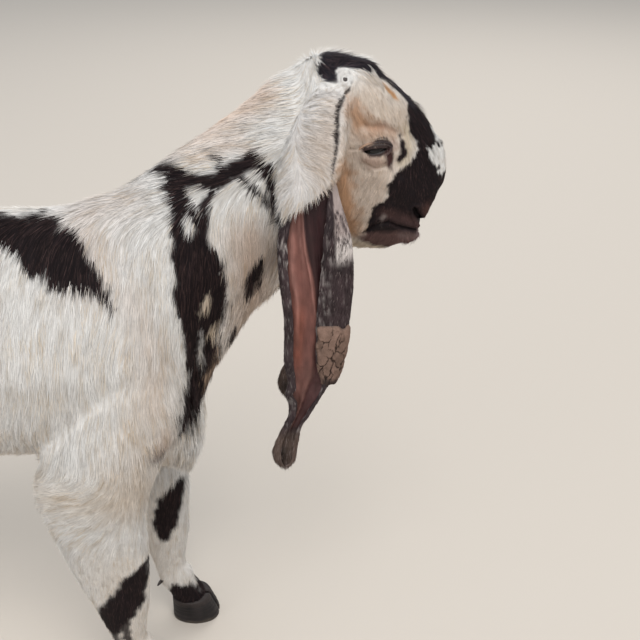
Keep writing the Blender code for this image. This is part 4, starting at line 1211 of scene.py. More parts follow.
@dataclass(frozen=True)
class Pelt:
    """How the coat grows: its length, width, lift and lie over the animal."""

    whorl: tuple = (2.7, 3.0, 88.3)
    lengths: tuple = (
        (2.4, ((-30, 0, 40, 8), (-60, 0, 42, 8)), 6.0),
        (2.3, ((-26, 9, 60, 5), (-28, 9, 50, 5)), 6.0),
        (3.4, ((-16, 0, 56, 2.5), (-11, 0, 60, 2.5), (-6, 0, 66, 1.5)), 3.0),
        (3.9, ((-18, 0, 42, 3.0), (-15.5, 0, 50, 2.0)), 3.0),
        (1.5, ((-28, 8, 36, 6), (-28, 8, 28, 5)), 4.0),
        (0.9, ((-28, 8, 22, 5), (-26, 8, 4, 5)), 4.0),
        (1.7, ((-79, 9, 42, 7), (-84, 9, 32, 5)), 4.0),
        (0.9, ((-88, 8, 24, 5), (-84, 8, 4, 5)), 4.0),
        (4.0, ((-92, 0, 68, 1.5), (-96, 0, 77, 2.0)), 1.5),
    )
    face_lengths: tuple = (
        (1.5, ((2.0, 0, 89, 3.0), (6.0, 0, 88, 1.5)), 1.5),
        (0.7, ((9.5, 0, 85, 2.5), (12, 0, 80, 3.0)), 1.5),
        (1.7, ((10.9, 0, 85.4, 0.5), (11.8, 0, 84.6, 0.3)), 0.6),
        (1.0, ((12.2, 1.8, 80.2, 0.5),), 1.0),
        (0.42, ((6.1, 5.2, 80.8, 1.3), (8.8, 4.2, 80.6, 0.5)), 0.9),
        (0.42, ((12.5, 1.5, 75.5, 2.6), (9.5, 3, 73.5, 2.0)), 1.6),
        (0.24, ((12, 1, 71.5, 1.6), (8, 3, 71.5, 0.7)), 0.9),
        (0.9, ((7.5, 0, 68.0, 1.2), (4.0, 0, 68.5, 2.0)), 1.0),
        (1.5, ((5.9, 0.6, 67.8, 0.3),), 0.7),
        (1.7, ((-2.0, 0, 89.8, 1.0), (3.4, 0, 90.2, 0.8)), 1.6),
        (0.36, ((2.7, 3.2, 88.4, 1.1),), 0.7),
    )
    ear_base_length: float = 1.5
    raised: tuple = (
        (12.0, ((-0.5, 0.0, 90.0, 0.8), (3.0, 0.0, 90.2, 0.5)), 2.0),
        (-9.0, ((-5.0, 0.0, 88.6, 1.0), (-14.0, 0.0, 82.0, 1.0)), 3.0),
        (30.0, ((10.8, 0.0, 85.5, 0.5), (11.6, 0.0, 84.8, 0.4)), 0.9),
        (9.0, ((12.3, 1.6, 80.0, 0.6),), 1.2),
        (9.0, ((-6.0, 0.0, 65.0, 1.0), (-13.0, 0.0, 55.0, 1.5), (-17.0, 0.0, 43.0, 2.0)), 2.0),
        (6.0, ((-28.0, 0.0, 37.0, 1.5), (-66.0, 0.0, 41.0, 1.5)), 2.5),
        (10.0, ((-92.0, 0.0, 68.0, 1.5), (-96.0, 0.0, 77.0, 2.0)), 1.5),
    )

    def length(self, points: np.ndarray) -> np.ndarray:
        """Hair length at places on the animal, in units."""
        both = mirrored(points)
        body, face = np.full(len(points), 1.95), np.full(len(points), 0.80)
        for value, rows, soft in self.lengths:
            body = mixed(body, value, smoothstep(soft, 0.0, path_distance(both, rows)))
        for value, rows, soft in self.face_lengths:
            face = mixed(face, value, smoothstep(soft, 0.0, path_distance(both, rows)))
        head = smoothstep(-2.0, 2.0, ahead_of(points, HEAD_CUT))
        ear = smoothstep(0.6, 0.0, ear_base_distance(points)) * smoothstep(4.0, 6.0, both[:, 1])
        length = mixed(body, face, head)
        cuff = self.ear_base_length - 0.55 * smoothstep(-3.0, 1.5, points[:, 0])
        length = mixed(length, cuff, ear)
        beside = smoothstep(0.7, 0.2, path_distance(points[:, [0, 2]], FaceRelief.parting))
        beside = beside * smoothstep(3.0, 3.8, both[:, 1])
        return mixed(length, 0.32, beside)

    def lift(self, points: np.ndarray) -> np.ndarray:
        """How much more the coat stands up than elsewhere, in degrees."""
        both = mirrored(points)
        total = np.zeros(len(points))
        for value, rows, soft in self.raised:
            total += value * smoothstep(soft, 0.0, path_distance(both, rows))
        return total

    @staticmethod
    def width(length: np.ndarray) -> np.ndarray:
        """Width of a tuft of a given length."""
        return 0.032 + 0.030 * length

    def depth(self, points: np.ndarray) -> np.ndarray:
        """How far the skin lies inside the outline, under the coat."""
        return 0.15 * np.minimum(self.length(points), 2.9)

    def lie(self, points: np.ndarray, normals: np.ndarray) -> np.ndarray:
        """The way that the coat lies: a direction for each part of the animal, blended
        where they meet, turned by slow noise and laid in the surface.

        Args:
            points: roots in units.
            normals: surface normals there.

        Returns:
            Unit vectors.
        """
        x, y, z = points.T
        side = np.sign(y)
        zero = np.zeros(len(points))
        head = smoothstep(-1.5, 1.5, ahead_of(points, HEAD_CUT))[:, None]
        neck = smoothstep(-3.0, 3.0, ahead_of(points, NECK_CUT))[:, None]

        back = smoothstep(-3.5, 3.5, z - 72.2 - 0.55 * np.clip(x + 18.0, 0, None))
        rear = smoothstep(-46, -70, x)
        body = np.stack([-0.12 - 0.9 * back - 0.4 * rear, zero, -1.0 + 0.85 * back], axis=-1)
        belly = smoothstep(44, 39, z) * smoothstep(-23, -30, x) * smoothstep(-72, -66, x)
        body = body + np.stack([-1.4 * belly, zero, 0.6 * belly], axis=-1)
        haunch = smoothstep(-66, -76, x) * smoothstep(72, 60, z)
        body = body + np.stack([0.5 * haunch, zero, -0.6 * haunch], axis=-1)
        leg = smoothstep(38, 26, z)[:, None]
        body = mixed(body, [-0.12, 0.0, -1.0], leg)

        throat = np.stack([-0.05 - 0.95 * back, zero, -1.0 + 0.88 * back], axis=-1)
        body = mixed(body, throat, neck)

        bridge = smoothstep(8.5, 11.5, x)
        low = smoothstep(82, 77, z)
        face = np.stack([
            0.55 * (1 - low) - 0.30 * low + 0.5 * bridge, 0.5 * side * (1 - low), -np.ones(len(x))
        ], axis=-1)
        away = points - np.stack([zero + self.whorl[0], side * self.whorl[1], zero + self.whorl[2]], -1)
        apart = np.linalg.norm(away, axis=1)[:, None]
        near = hump(apart, 2.2)
        spin = np.cross(normals, unit_rows(away)) * side[:, None] * 1.2
        spin = spin + unit_rows(away) * (0.2 + 0.9 * smoothstep(0.9, 1.8, apart))
        face = face * (1 - near) + spin * near * 1.8
        chin = smoothstep(69.6, 68.4, z)[:, None]
        face = mixed(face, [-0.9, 0.0, -0.5], chin)
        lay = mixed(body, face, head)

        ear = smoothstep(0.5, -0.1, ear_base_distance(points)) * smoothstep(4.4, 5.8, np.abs(y))
        front = smoothstep(-0.9, 0.9, x + 2.6 + 0.3 * noise(points, 1.5, 13))
        sweep = np.stack([2.0 * front - 1.0, zero, -0.35 - 0.35 * (1 - front)], axis=-1)
        fan = np.stack([0.30 * (x + 2.0), 0.10 * side, -np.ones(len(x))], axis=-1)
        hanging = smoothstep(81.0, 78.0, z - 0.4 * x)[:, None]
        fan = mixed(sweep, fan, hanging)
        lay = mixed(lay, fan, ear[:, None])
        tail = (smoothstep(-89, -92, x) * smoothstep(63, 67, z))[:, None]
        lay = mixed(lay, [-0.35, 0.0, 1.0], tail)

        lay = unit_rows(lay - np.sum(lay * normals, axis=1, keepdims=True) * normals)
        turn = noise(points, 5.0, 11) * 0.20 + noise(points, 1.3, 12) * 0.14
        swirl = np.cross(normals, lay)
        return unit_rows(lay * np.cos(turn)[:, None] + swirl * np.sin(turn)[:, None])


@dataclass(frozen=True)
class FaceRelief:
    """The folds, lips, nostrils and ridges of the face.

    A form is a line seen from the side, its width, its height along the skin's
    normal, how far from the line it lies, and how far from the mid-plane it starts.
    """

    mouth: tuple = ((4.9, 70.6, 0), (6.3, 71.7, 0), (8.0, 72.15, 0), (9.1, 71.45, 0), (10.4, 71.05, 0),
                    (11.2, 70.85, 0), (12.8, 70.9, 0))
    nostril: tuple = ((10.95, 73.6, 0.02), (11.2, 72.9, 0.12), (11.65, 72.2, 0.20), (11.9, 71.7, 0.08))
    forms: tuple = (
        (mouth, 0.13, -0.32, 0.0, 0.0),
        (mouth, 0.26, 0.12, 0.45, 0.0),
        (((12.5, 71.5, 0.0), (12.1, 70.5, 0.1)), 0.62, -0.50, 0.0, 0.0),
        (((12.6, 69.3, 0.1), (11.8, 68.3, 0.1)), 0.9, -0.30, 0.0, 0.0),
        (((11.4, 68.0, 0.1), (9.8, 67.4, 0.2)), 0.9, -0.52, 0.0, 0.0),
        (((13.2, 72.4, 0.1), (12.7, 71.7, 0.1)), 0.75, -0.50, 0.0, 0.0),
        (nostril, 0.17, -0.70, 0.0, 1.2),
        (nostril, 0.22, 0.12, 0.45, 1.2),
        (((11.7, 73.8, 0.1), (12.3, 73.1, 0.25), (12.5, 72.3, 0.1)), 0.34, 0.20, 0.0, 1.2),
        (((9.2, 73.4, 0.1), (10.4, 72.4, 0.1)), 0.30, -0.10, 0.0, 1.6),
        (((7.6, 81.0, 0.05), (8.0, 80.0, 0.18), (8.6, 79.3, 0.15), (9.0, 77.9, 0.05)),
         0.3, -0.22, 0.0, 2.4),
        (((8.8, 81.9, 0.05), (9.1, 80.9, 0.22), (8.9, 80.0, 0.15)), 0.3, 0.14, 0.0, 2.4),
        (((6.4, 78.4, 0.1), (8.4, 77.0, 0.3), (9.8, 75.2, 0.1)), 0.8, 0.26, 0.0, 2.4),
        (((6.4, 85.2, 0.5), (8.6, 84.4, 0.5)), 1.2, 0.26, 0.0, 2.2),
        (((4.2, 85.6, 0.3), (4.6, 84.2, 0.2)), 0.9, -0.12, 0.0, 2.4),
        (((5.2, 83.7, 0.0), (6.9, 83.6, 0.05), (8.4, 82.9, 0.05), (9.0, 82.3, 0.0)),
         0.42, -0.26, 0.0, 2.4),
        (((6.0, 82.1, 0.0), (6.7, 82.35, 0.0), (7.3, 82.15, 0.0), (7.65, 81.8, 0.0), (7.6, 81.2, 0.0),
          (7.65, 80.6, 0.0), (7.4, 80.1, 0.0)), 0.13, -0.16, 0.0, 2.4),
        (((4.6, 81.4, 0), (3.2, 81.2, 0), (1.8, 80.7, 0)), 0.16, -0.15, 0.0, 2.4),
        (((4.6, 81.4, 0), (3.2, 81.2, 0), (1.8, 80.7, 0)), 0.30, 0.06, 0.35, 2.4),
        (((5.0, 80.1, 0.1), (6.2, 79.8, 0.2), (7.2, 79.9, 0.1)), 0.45, 0.16, 0.0, 2.4),
        (((4.8, 79.6, 0), (6.1, 79.0, 0), (7.4, 79.1, 0)), 0.17, -0.11, 0.0, 2.4),
        (((4.6, 79.0, 0), (6.0, 78.3, 0), (7.6, 78.4, 0)), 0.20, -0.07, 0.0, 2.4),
        (((2.2, 74.0, 0.6), (3.6, 70.9, 0.5), (5.8, 69.9, 0.1)), 0.9, 0.22, 0.0, 2.4),
        (((5.4, 76.2, 0.3), (6.2, 73.6, 0.3)), 0.9, -0.16, 0.0, 2.4),
        (((2.9, 86.3, 0.0), (2.6, 84.0, 0.05), (2.5, 81.8, 0.05), (2.2, 79.0, 0.0)),
         0.46, 0.27, 0.0, 3.0),
    )
    parting: tuple = ((3.43, 88.1, 0.0), (3.05, 87.3, 0.0), (2.35, 86.8, 0.0), (1.92, 86.0, 0.0),
                      (1.80, 85.0, 0.0), (1.78, 83.5, 0.0), (1.70, 81.8, 0.0), (1.45, 80.4, 0.0))
    poll: tuple = ((-1.0, 0.0, 90.2, 0.6), (2.0, 0.0, 90.6, 0.9), (4.8, 0.0, 89.6, 0.6))
    bridge: tuple = ((13.8, 0.0, 80.2, 0.2), (14.3, 0.0, 77.6, 0.2), (14.2, 0.0, 76.2, 0.2))
    whorl: tuple = ((2.7, 3.2, 88.4, 0.0),)

    def height(self, points: np.ndarray) -> np.ndarray:
        """Height of the relief: each form is an even hump, exp(-(d / width)^2), about
        its line or about the rim that lies round it.

        Args:
            points: places in units.

        Returns:
            Heights along the normal, in units.
        """
        seen = points[:, [0, 2]]
        out = np.abs(points[:, 1])
        total = np.zeros(len(points))
        for line, width, height, rim, start in self.forms:
            away = path_distance(seen, line) - rim
            away = away if rim else np.maximum(away, 0.0)
            room = smoothstep(start, start + 0.8, out) if start else 1.0
            total += height * hump(away, width) * room
        both = mirrored(points)
        total -= 0.30 * hump(path_distance(seen, self.parting), 0.26) * smoothstep(3, 3.6, out)
        total += 0.60 * smoothstep(2.4, 0.0, path_distance(both, self.poll))
        total += 0.42 * smoothstep(1.7, 0.0, path_distance(both, self.bridge))
        whorl = path_distance(both, self.whorl)
        total += 0.30 * hump(whorl - 1.0, 0.38) - 0.20 * hump(whorl, 0.5)
        philtrum = hump(points[:, 1], 0.16) * smoothstep(11.6, 12.4, points[:, 0])
        total -= 0.16 * philtrum * smoothstep(74.6, 73.6, points[:, 2])
        muzzle = smoothstep(74.8, 72.8, points[:, 2]) * smoothstep(6.5, 9.0, points[:, 0])
        wrinkle = noise(points * np.array([1.0, 0.6, 1.6]), 0.55, 5) * 0.045
        crease = noise(points * np.array([2.2, 0.6, 0.7]), 0.6, 6) * 0.035
        return total + (wrinkle + crease) * muzzle


@dataclass
class Skin:
    """One closed skin over the trunk, neck, head, legs, tail and the roots of the ears."""

    place: Place
    finishes: Finishes
    frame: Frame
    pelt: Pelt
    markings: Markings
    relief: FaceRelief = FaceRelief()
    body_voxel: float = 0.56
    head_voxel: float = 0.235
    joints: tuple = (
        ("fore", (-0.55, 0.0, 18.6), (3.7, 2.9, 3.2)),
        ("fore", (-2.6, 0.0, 33.5), (3.4, 3.0, 4.2)),
        ("fore", (0.3, 0.0, 8.2), (2.9, 2.5, 2.0)),
        ("hind", (0.2, 0.0, 8.6), (2.9, 2.5, 2.0)),
        ("hind", (-2.5, 0.0, 27.6), (2.6, 2.2, 3.2)),
    )
    nodes: tuple = (
        "torso", "neck", "head", "tail",
        *(f"{leg}leg_{side}_{part}" for leg in ("fore", "hind") for side in SIDES
          for part in ("upper", "lower")),
    )

    def joint_rings(self) -> list:
        """Ellipsoids that fill out the knees, elbows, hocks and fetlocks."""
        made = []
        for leg, (dx, dy, height), radii in self.joints:
            stations = np.array(self.frame.stations(leg))[::-1]
            x = np.interp(height, stations[:, 2], stations[:, 0]) + dx
            y = np.interp(height, stations[:, 2], stations[:, 1]) + dy
            for side, sign in SIDES.items():
                shift = float(self.frame.leg_shift(leg, side, np.array(height)))
                made.append(self.frame.ellipsoid((x + shift, y, height), radii, 0.0, sign, 16))
        return made

    def body(self) -> bpy.types.Object:
        """The coarse surface of all but the head."""
        frame = self.frame
        rings = [frame.body_rings(frame.torso, 5, 56), frame.body_rings(frame.neck, 5, 48)]
        rings += [frame.leg_rings(leg, side) for leg in ("fore", "hind") for side in SIDES]
        rings += [frame.tail_rings(), *self.joint_rings()]
        return sliced(merged(rings, self.body_voxel, 6), HEAD_CUT, False, BODY_END)

    def head(self) -> bpy.types.Object:
        """The fine surface of the head and the roots of the ears."""
        frame = self.frame
        rings = [frame.body_rings(frame.head, 6, 56), frame.body_rings(frame.neck[2:], 6, 56)]
        for sign in SIDES.values():
            rings.append(frame.ear_base_rings(sign))
            rings += [frame.ellipsoid(*mass, sign) for mass in frame.masses]
        head = merged(rings, self.head_voxel, 8)
        return sliced(head, HEAD_CUT, True, HEAD_END)

    def refined(self, obj: bpy.types.Object) -> bpy.types.Object:
        """The head with its faces halved round the eyes, nostrils and mouth."""
        with edited(obj.data) as work:
            work.verts.ensure_lookup_table()
            points = np.array([vertex.co for vertex in work.verts])
            seen = points[:, [0, 2]]
            near = np.minimum(path_distance(seen, self.relief.mouth) - 0.6,
                              path_distance(seen, self.relief.nostril) - 0.7)
            eye = np.linalg.norm(seen - np.array([6.6, 80.6]), axis=1) - 2.4
            wanted = (np.minimum(near, eye) < 0) & (np.abs(points[:, 1]) > 0.0)
            edges = [e for e in work.edges if all(wanted[end.index] for end in e.verts)]
            bmesh.ops.subdivide_edges(work, edges=edges, cuts=1, use_grid_fill=True, smooth=0.0)
            bmesh.ops.triangulate(work, faces=work.faces)
        return obj

    def eye_plug(self, sign: float) -> bpy.types.Object:
        """A plug that opens the skin over an eyeball, wider than the slit of the lids."""
        angle = circle(40)
        x, z = Eye.slit(angle, 0.10)
        rings = []
        for out in (2.6, 8.0):
            y = np.full_like(x, sign * out)
            rings.append(np.stack([Eye.centre[0] + x, y, Eye.centre[2] + z], axis=-1))
        return add_object("plug", closed_tube("plug", np.array(rings)))

    def build(self) -> bpy.types.Object:
        """The skin, laid under the coat, with its relief, colours and unwrap.

        Returns:
            The finished piece.
        """
        head = self.refined(self.head())
        points, normals = vertices_of(head.data), normals_of(head.data)
        ahead = ahead_of(points, HEAD_CUT)
        share = smoothstep(-2.0, 0.5, ahead)
        lift = self.relief.height(points) * share - self.pelt.depth(points)
        lift = lift - JOIN_DIVE * smoothstep(-6.8, HEAD_END, ahead)
        set_vertices(head.data, points + normals * lift[:, None])
        for sign in SIDES.values():
            boolean(head, self.eye_plug(sign), "DIFFERENCE")
        body = self.body()
        points, normals = vertices_of(body.data), normals_of(body.data)
        dive = JOIN_DIVE * smoothstep(-6.6, BODY_END, ahead_of(points, HEAD_CUT))
        dive = dive * (points[:, 2] > JOIN_FLOOR)
        set_vertices(body.data, points - normals * (self.pelt.depth(points) + dive)[:, None])
        boolean(body, head, "UNION")
        with edited(body.data) as work:
            bmesh.ops.triangulate(work, faces=work.faces)
            self.ease_join(work)
        mesh = body.data
        mesh.shade_smooth()
        body.name = mesh.name = "skin"
        points = vertices_of(mesh)
        set_tint(mesh, self.hide_colours(points))
        set_vertices(mesh, self.place.metres(points))
        self.unwrap(body)
        mesh.materials.clear()
        mesh.materials.append(self.finishes.get(Finish.HIDE))
        return body

    @staticmethod
    def ease_join(work: bmesh.types.BMesh, passes: int = 12) -> None:
        """Smooth the belt of the neck where the head's surface joins the body's.

        Args:
            work: the skin, in units.
            passes: how often it is smoothed.
        """
        points = np.array([vertex.co for vertex in work.verts])
        ahead = ahead_of(points, HEAD_CUT)
        belt = (ahead > HEAD_END - 1.0) & (ahead < BODY_END + 0.6)
        belt = belt & (ear_base_distance(points) > 0.5) & (points[:, 2] > JOIN_FLOOR)
        chosen = [vertex for vertex, inside in zip(work.verts, belt) if inside]
        for _ in range(passes):
            bmesh.ops.smooth_vert(
                work, verts=chosen, factor=0.5, use_axis_x=True, use_axis_y=True, use_axis_z=True
            )

    def hide_colours(self, points: np.ndarray) -> np.ndarray:
        """The markings, with bare skin round the eyes, and painted shade in the nostrils and along the
        mouth.
        """
        colours = self.markings.paint(points) * 0.86
        seen = points[:, [0, 2]]
        flank = smoothstep(3.0, 4.0, np.abs(points[:, 1]))
        share = (smoothstep(0.45, 0.0, lid_room(points)) * flank)[:, None]
        colours = mixed(colours, GREY_SKIN, share)
        # Painted shade: the nostril pits are painted darker than the black muzzle.
        pit = smoothstep(0.2, 0.0, path_distance(seen, self.relief.nostril))
        pit = (pit * smoothstep(1.4, 1.9, np.abs(points[:, 1])))[:, None]
        colours = mixed(colours, np.array(BLACK) * 0.5, pit)
        # Painted shade: a dark line along the mouth, where the lips meet.
        line = (smoothstep(0.14, 0.02, path_distance(seen, self.relief.mouth))
                * smoothstep(-0.5, 0.5, ahead_of(points, HEAD_CUT)))[:, None]
        return colours * (1 - 0.8 * line) + np.array(BLACK) * 0.8 * line

    @staticmethod
    def unwrap(obj: bpy.types.Object) -> None:
        """Unwrap the skin's own shape by the way its faces point."""
        bpy.context.view_layer.objects.active = obj
        obj.select_set(True)
        obj.data.uv_layers.new(name=BAKE_MAP)
        bpy.ops.object.mode_set(mode="EDIT")
        bpy.ops.mesh.select_all(action="SELECT")
        bpy.ops.uv.smart_project(angle_limit=1.15, island_margin=0.002)
        bpy.ops.object.mode_set(mode="OBJECT")
        obj.select_set(False)


@dataclass
class Eye:
    """An eyeball with its slot pupil, and the lids that stand round it."""

    place: Place
    finishes: Finishes
    side: str
    centre: tuple = (6.08, 3.82, 81.0)
    radius: float = 1.50
    mound: tuple = (2.45, 1.88, 1.95)
    rows: int = 72
    columns: int = 96

    @staticmethod
    def slit(angle: np.ndarray, grown: float) -> tuple:
        """Outline of the slit between the lids: a cosine across, a sharpened sine up,
        the lower lid slacker than the upper, tilted up towards the nose.

        Args:
            angle: places round the outline.
            grown: how far outside the slit.

        Returns:
            Arrays x and z from the eye's centre.
        """
        half_width, upper, lower, tilt = 1.22, 0.15, 0.35, math.radians(7.0)
        x = (half_width + grown) * np.cos(angle)
        rise = np.sin(angle) * np.abs(np.sin(angle)) ** 0.25
        z = (np.where(rise > 0, upper, lower) + grown) * rise + 0.10
        return x * math.cos(tilt) - z * math.sin(tilt), x * math.sin(tilt) + z * math.cos(tilt)

    def ball(self) -> bpy.types.Object:
        """The eyeball: a sphere about an axis that points outwards, with a swollen
        cornea, a dark amber iris and a level slot pupil."""
        sign = SIDES[self.side]
        polar = np.linspace(0.004, math.pi - 0.004, self.rows)[:, None]
        angle = circle(self.columns)
        swell = 1.0 + 0.035 * smoothstep(0.62, 0.25, polar)
        out = np.cos(polar) * np.ones(self.columns) * swell
        across, up = np.sin(polar) * np.cos(angle) * swell, np.sin(polar) * np.sin(angle) * swell
        gaze = np.array([[0.985, -0.12, 0.0], [0.12, 0.985, 0.0], [0.0, 0.0, 1.0]])
        local = np.stack([across, out, up - 0.04 * out], axis=-1) @ gaze.T
        rings = (local * self.radius + np.array(self.centre)) * np.array([1.0, sign, 1.0])
        mesh = closed_tube(f"eye_{self.side}", self.place.metres(rings))
        flat = np.vstack([np.stack([across, up, polar * np.ones(self.columns)], -1).reshape(-1, 3),
                          [[0, 0, 0], [0, 0, math.pi]]])
        iris = smoothstep(0.66, 0.60, flat[:, 2])[:, None]
        spokes = 0.75 + 0.35 * noise(np.stack([np.arctan2(flat[:, 1], flat[:, 0]) * 6, flat[:, 2] * 3,
                                               flat[:, 2] * 0], -1), 1.0, 3)[:, None]
        colours = np.array([0.035, 0.025, 0.022]) * (1 - iris)
        colours = colours + np.array([0.032, 0.021, 0.016]) * spokes * iris
        slot = np.maximum(np.abs(flat[:, 0]) / 0.42, np.abs(flat[:, 1]) / 0.13)
        pupil = (smoothstep(1.1, 0.9, slot) * (flat[:, 2] < 1.5))[:, None]
        limbus = hump(flat[:, 2] - 0.63, 0.06)[:, None]
        colours = colours * (1 - pupil) * (1 - 0.8 * limbus) + 0.004 * pupil
        return self.finishes.piece(f"eye_ball_{self.side}", mesh, colours, Finish.EYE)

    def lids(self) -> bpy.types.Object:
        """The lids: rings round the slit that start on the eyeball, roll over a thick
        rim and run out to the mound of the socket, with a fold over the upper lid."""
        sign = SIDES[self.side]
        sides = 160
        angle = circle(sides)[None, :]
        out = np.concatenate([np.linspace(-0.10, 0.30, 16), np.linspace(0.34, 1.02, 18)])[:, None]
        x, z = self.slit(angle, out)
        reach = np.hypot(x / self.mound[0], z / self.mound[2])
        skin = self.centre[1] + self.mound[1] * np.sqrt(np.clip(1 - reach**2, 0.02, 1)) - 0.09
        ball = self.centre[1] + np.sqrt(np.clip(self.radius**2 - x**2 - z**2, 0.3, None)) + 0.03
        share = smoothstep(-0.05, 0.62, out)
        y = mixed(ball, skin, share)
        upper = smoothstep(-0.2, 0.5, np.sin(angle))
        fold = 0.34 + 0.34 * upper * (0.75 + 0.25 * np.cos(angle))
        y = y + (0.08 + 0.08 * upper) * hump(out - 0.10, 0.10)
        y = y + 0.07 * upper * hump(out - 0.36, 0.16)
        y = y - (0.10 * upper + 0.05) * hump(out - fold, 0.06)
        y = y + (0.06 * upper + 0.03) * hump(out - fold - 0.18, 0.12)
        y = y - 0.42 * smoothstep(0.66, 0.96, out - 0.10 * upper)
        shell = np.stack([self.centre[0] + x, sign * y, self.centre[2] + z], axis=-1)
        wrinkle = noise(shell.reshape(-1, 3) * np.array([0.5, 1, 1.6]), 0.16, 8).reshape(y.shape)
        shell[..., 1] += sign * 0.018 * wrinkle
        inner = shell - np.array([0.0, sign * 0.16, 0.0])
        rows = len(out)
        points = np.vstack([shell.reshape(-1, 3), inner.reshape(-1, 3)])
        count = rows * sides
        last = count - sides
        front, back = grid_faces(rows, sides, True), grid_faces(rows, sides, True, count)[:, ::-1]
        ring = np.arange(sides)
        after = np.roll(ring, -1)
        rims = [np.stack([ring, count + ring, count + after, after], -1),
                np.stack([ring + last, after + last, after + count + last, ring + count + last], -1)]
        faces = np.vstack([front, back, *rims])
        mesh = mesh_from(f"eyelids_{self.side}", self.place.metres(points), faces)
        with edited(mesh) as work:
            bmesh.ops.recalc_face_normals(work, faces=work.faces)
        spots = (noise(points, 0.35, 9) * 0.5 + 0.5)[:, None]
        start = 0.16 + 0.42 * upper * (0.6 + 0.4 * np.cos(angle))

        def both(values: np.ndarray) -> np.ndarray:
            """Values of the shell's grid for its outer and inner points."""
            return np.tile(np.broadcast_to(values, y.shape).reshape(-1, 1), (2, 1))

        far, rim = both(smoothstep(0.0, 0.28, out - start)), both(smoothstep(0.18, 0.02, out))
        colours = np.array(GREY_SKIN) * (0.75 + 0.6 * spots) * (1 - 0.85 * rim)
        turn, above = both((np.cos(angle) + 1) / 2), both(upper)
        # Above the eye, the front of the fold is painted near black as the fold's shade; the rear part
        # above the eye stays tan.
        dark = both(smoothstep(-0.45, 0.15, np.cos(angle)))
        beyond = mixed((0.30, 0.19, 0.155), (0.055, 0.028, 0.026), turn)
        brow = mixed((0.44, 0.29, 0.205), (0.030, 0.018, 0.018), dark)
        beyond = mixed(beyond, brow, above)
        colours = colours * (1 - 0.9 * far) + beyond * 0.9 * far * (0.7 + 0.4 * spots)
        return self.finishes.piece(f"eyelids_{self.side}", mesh, colours, Finish.LID)

    def build(self) -> list:
        """The eye's pieces."""
        return [self.ball(), self.lids()]


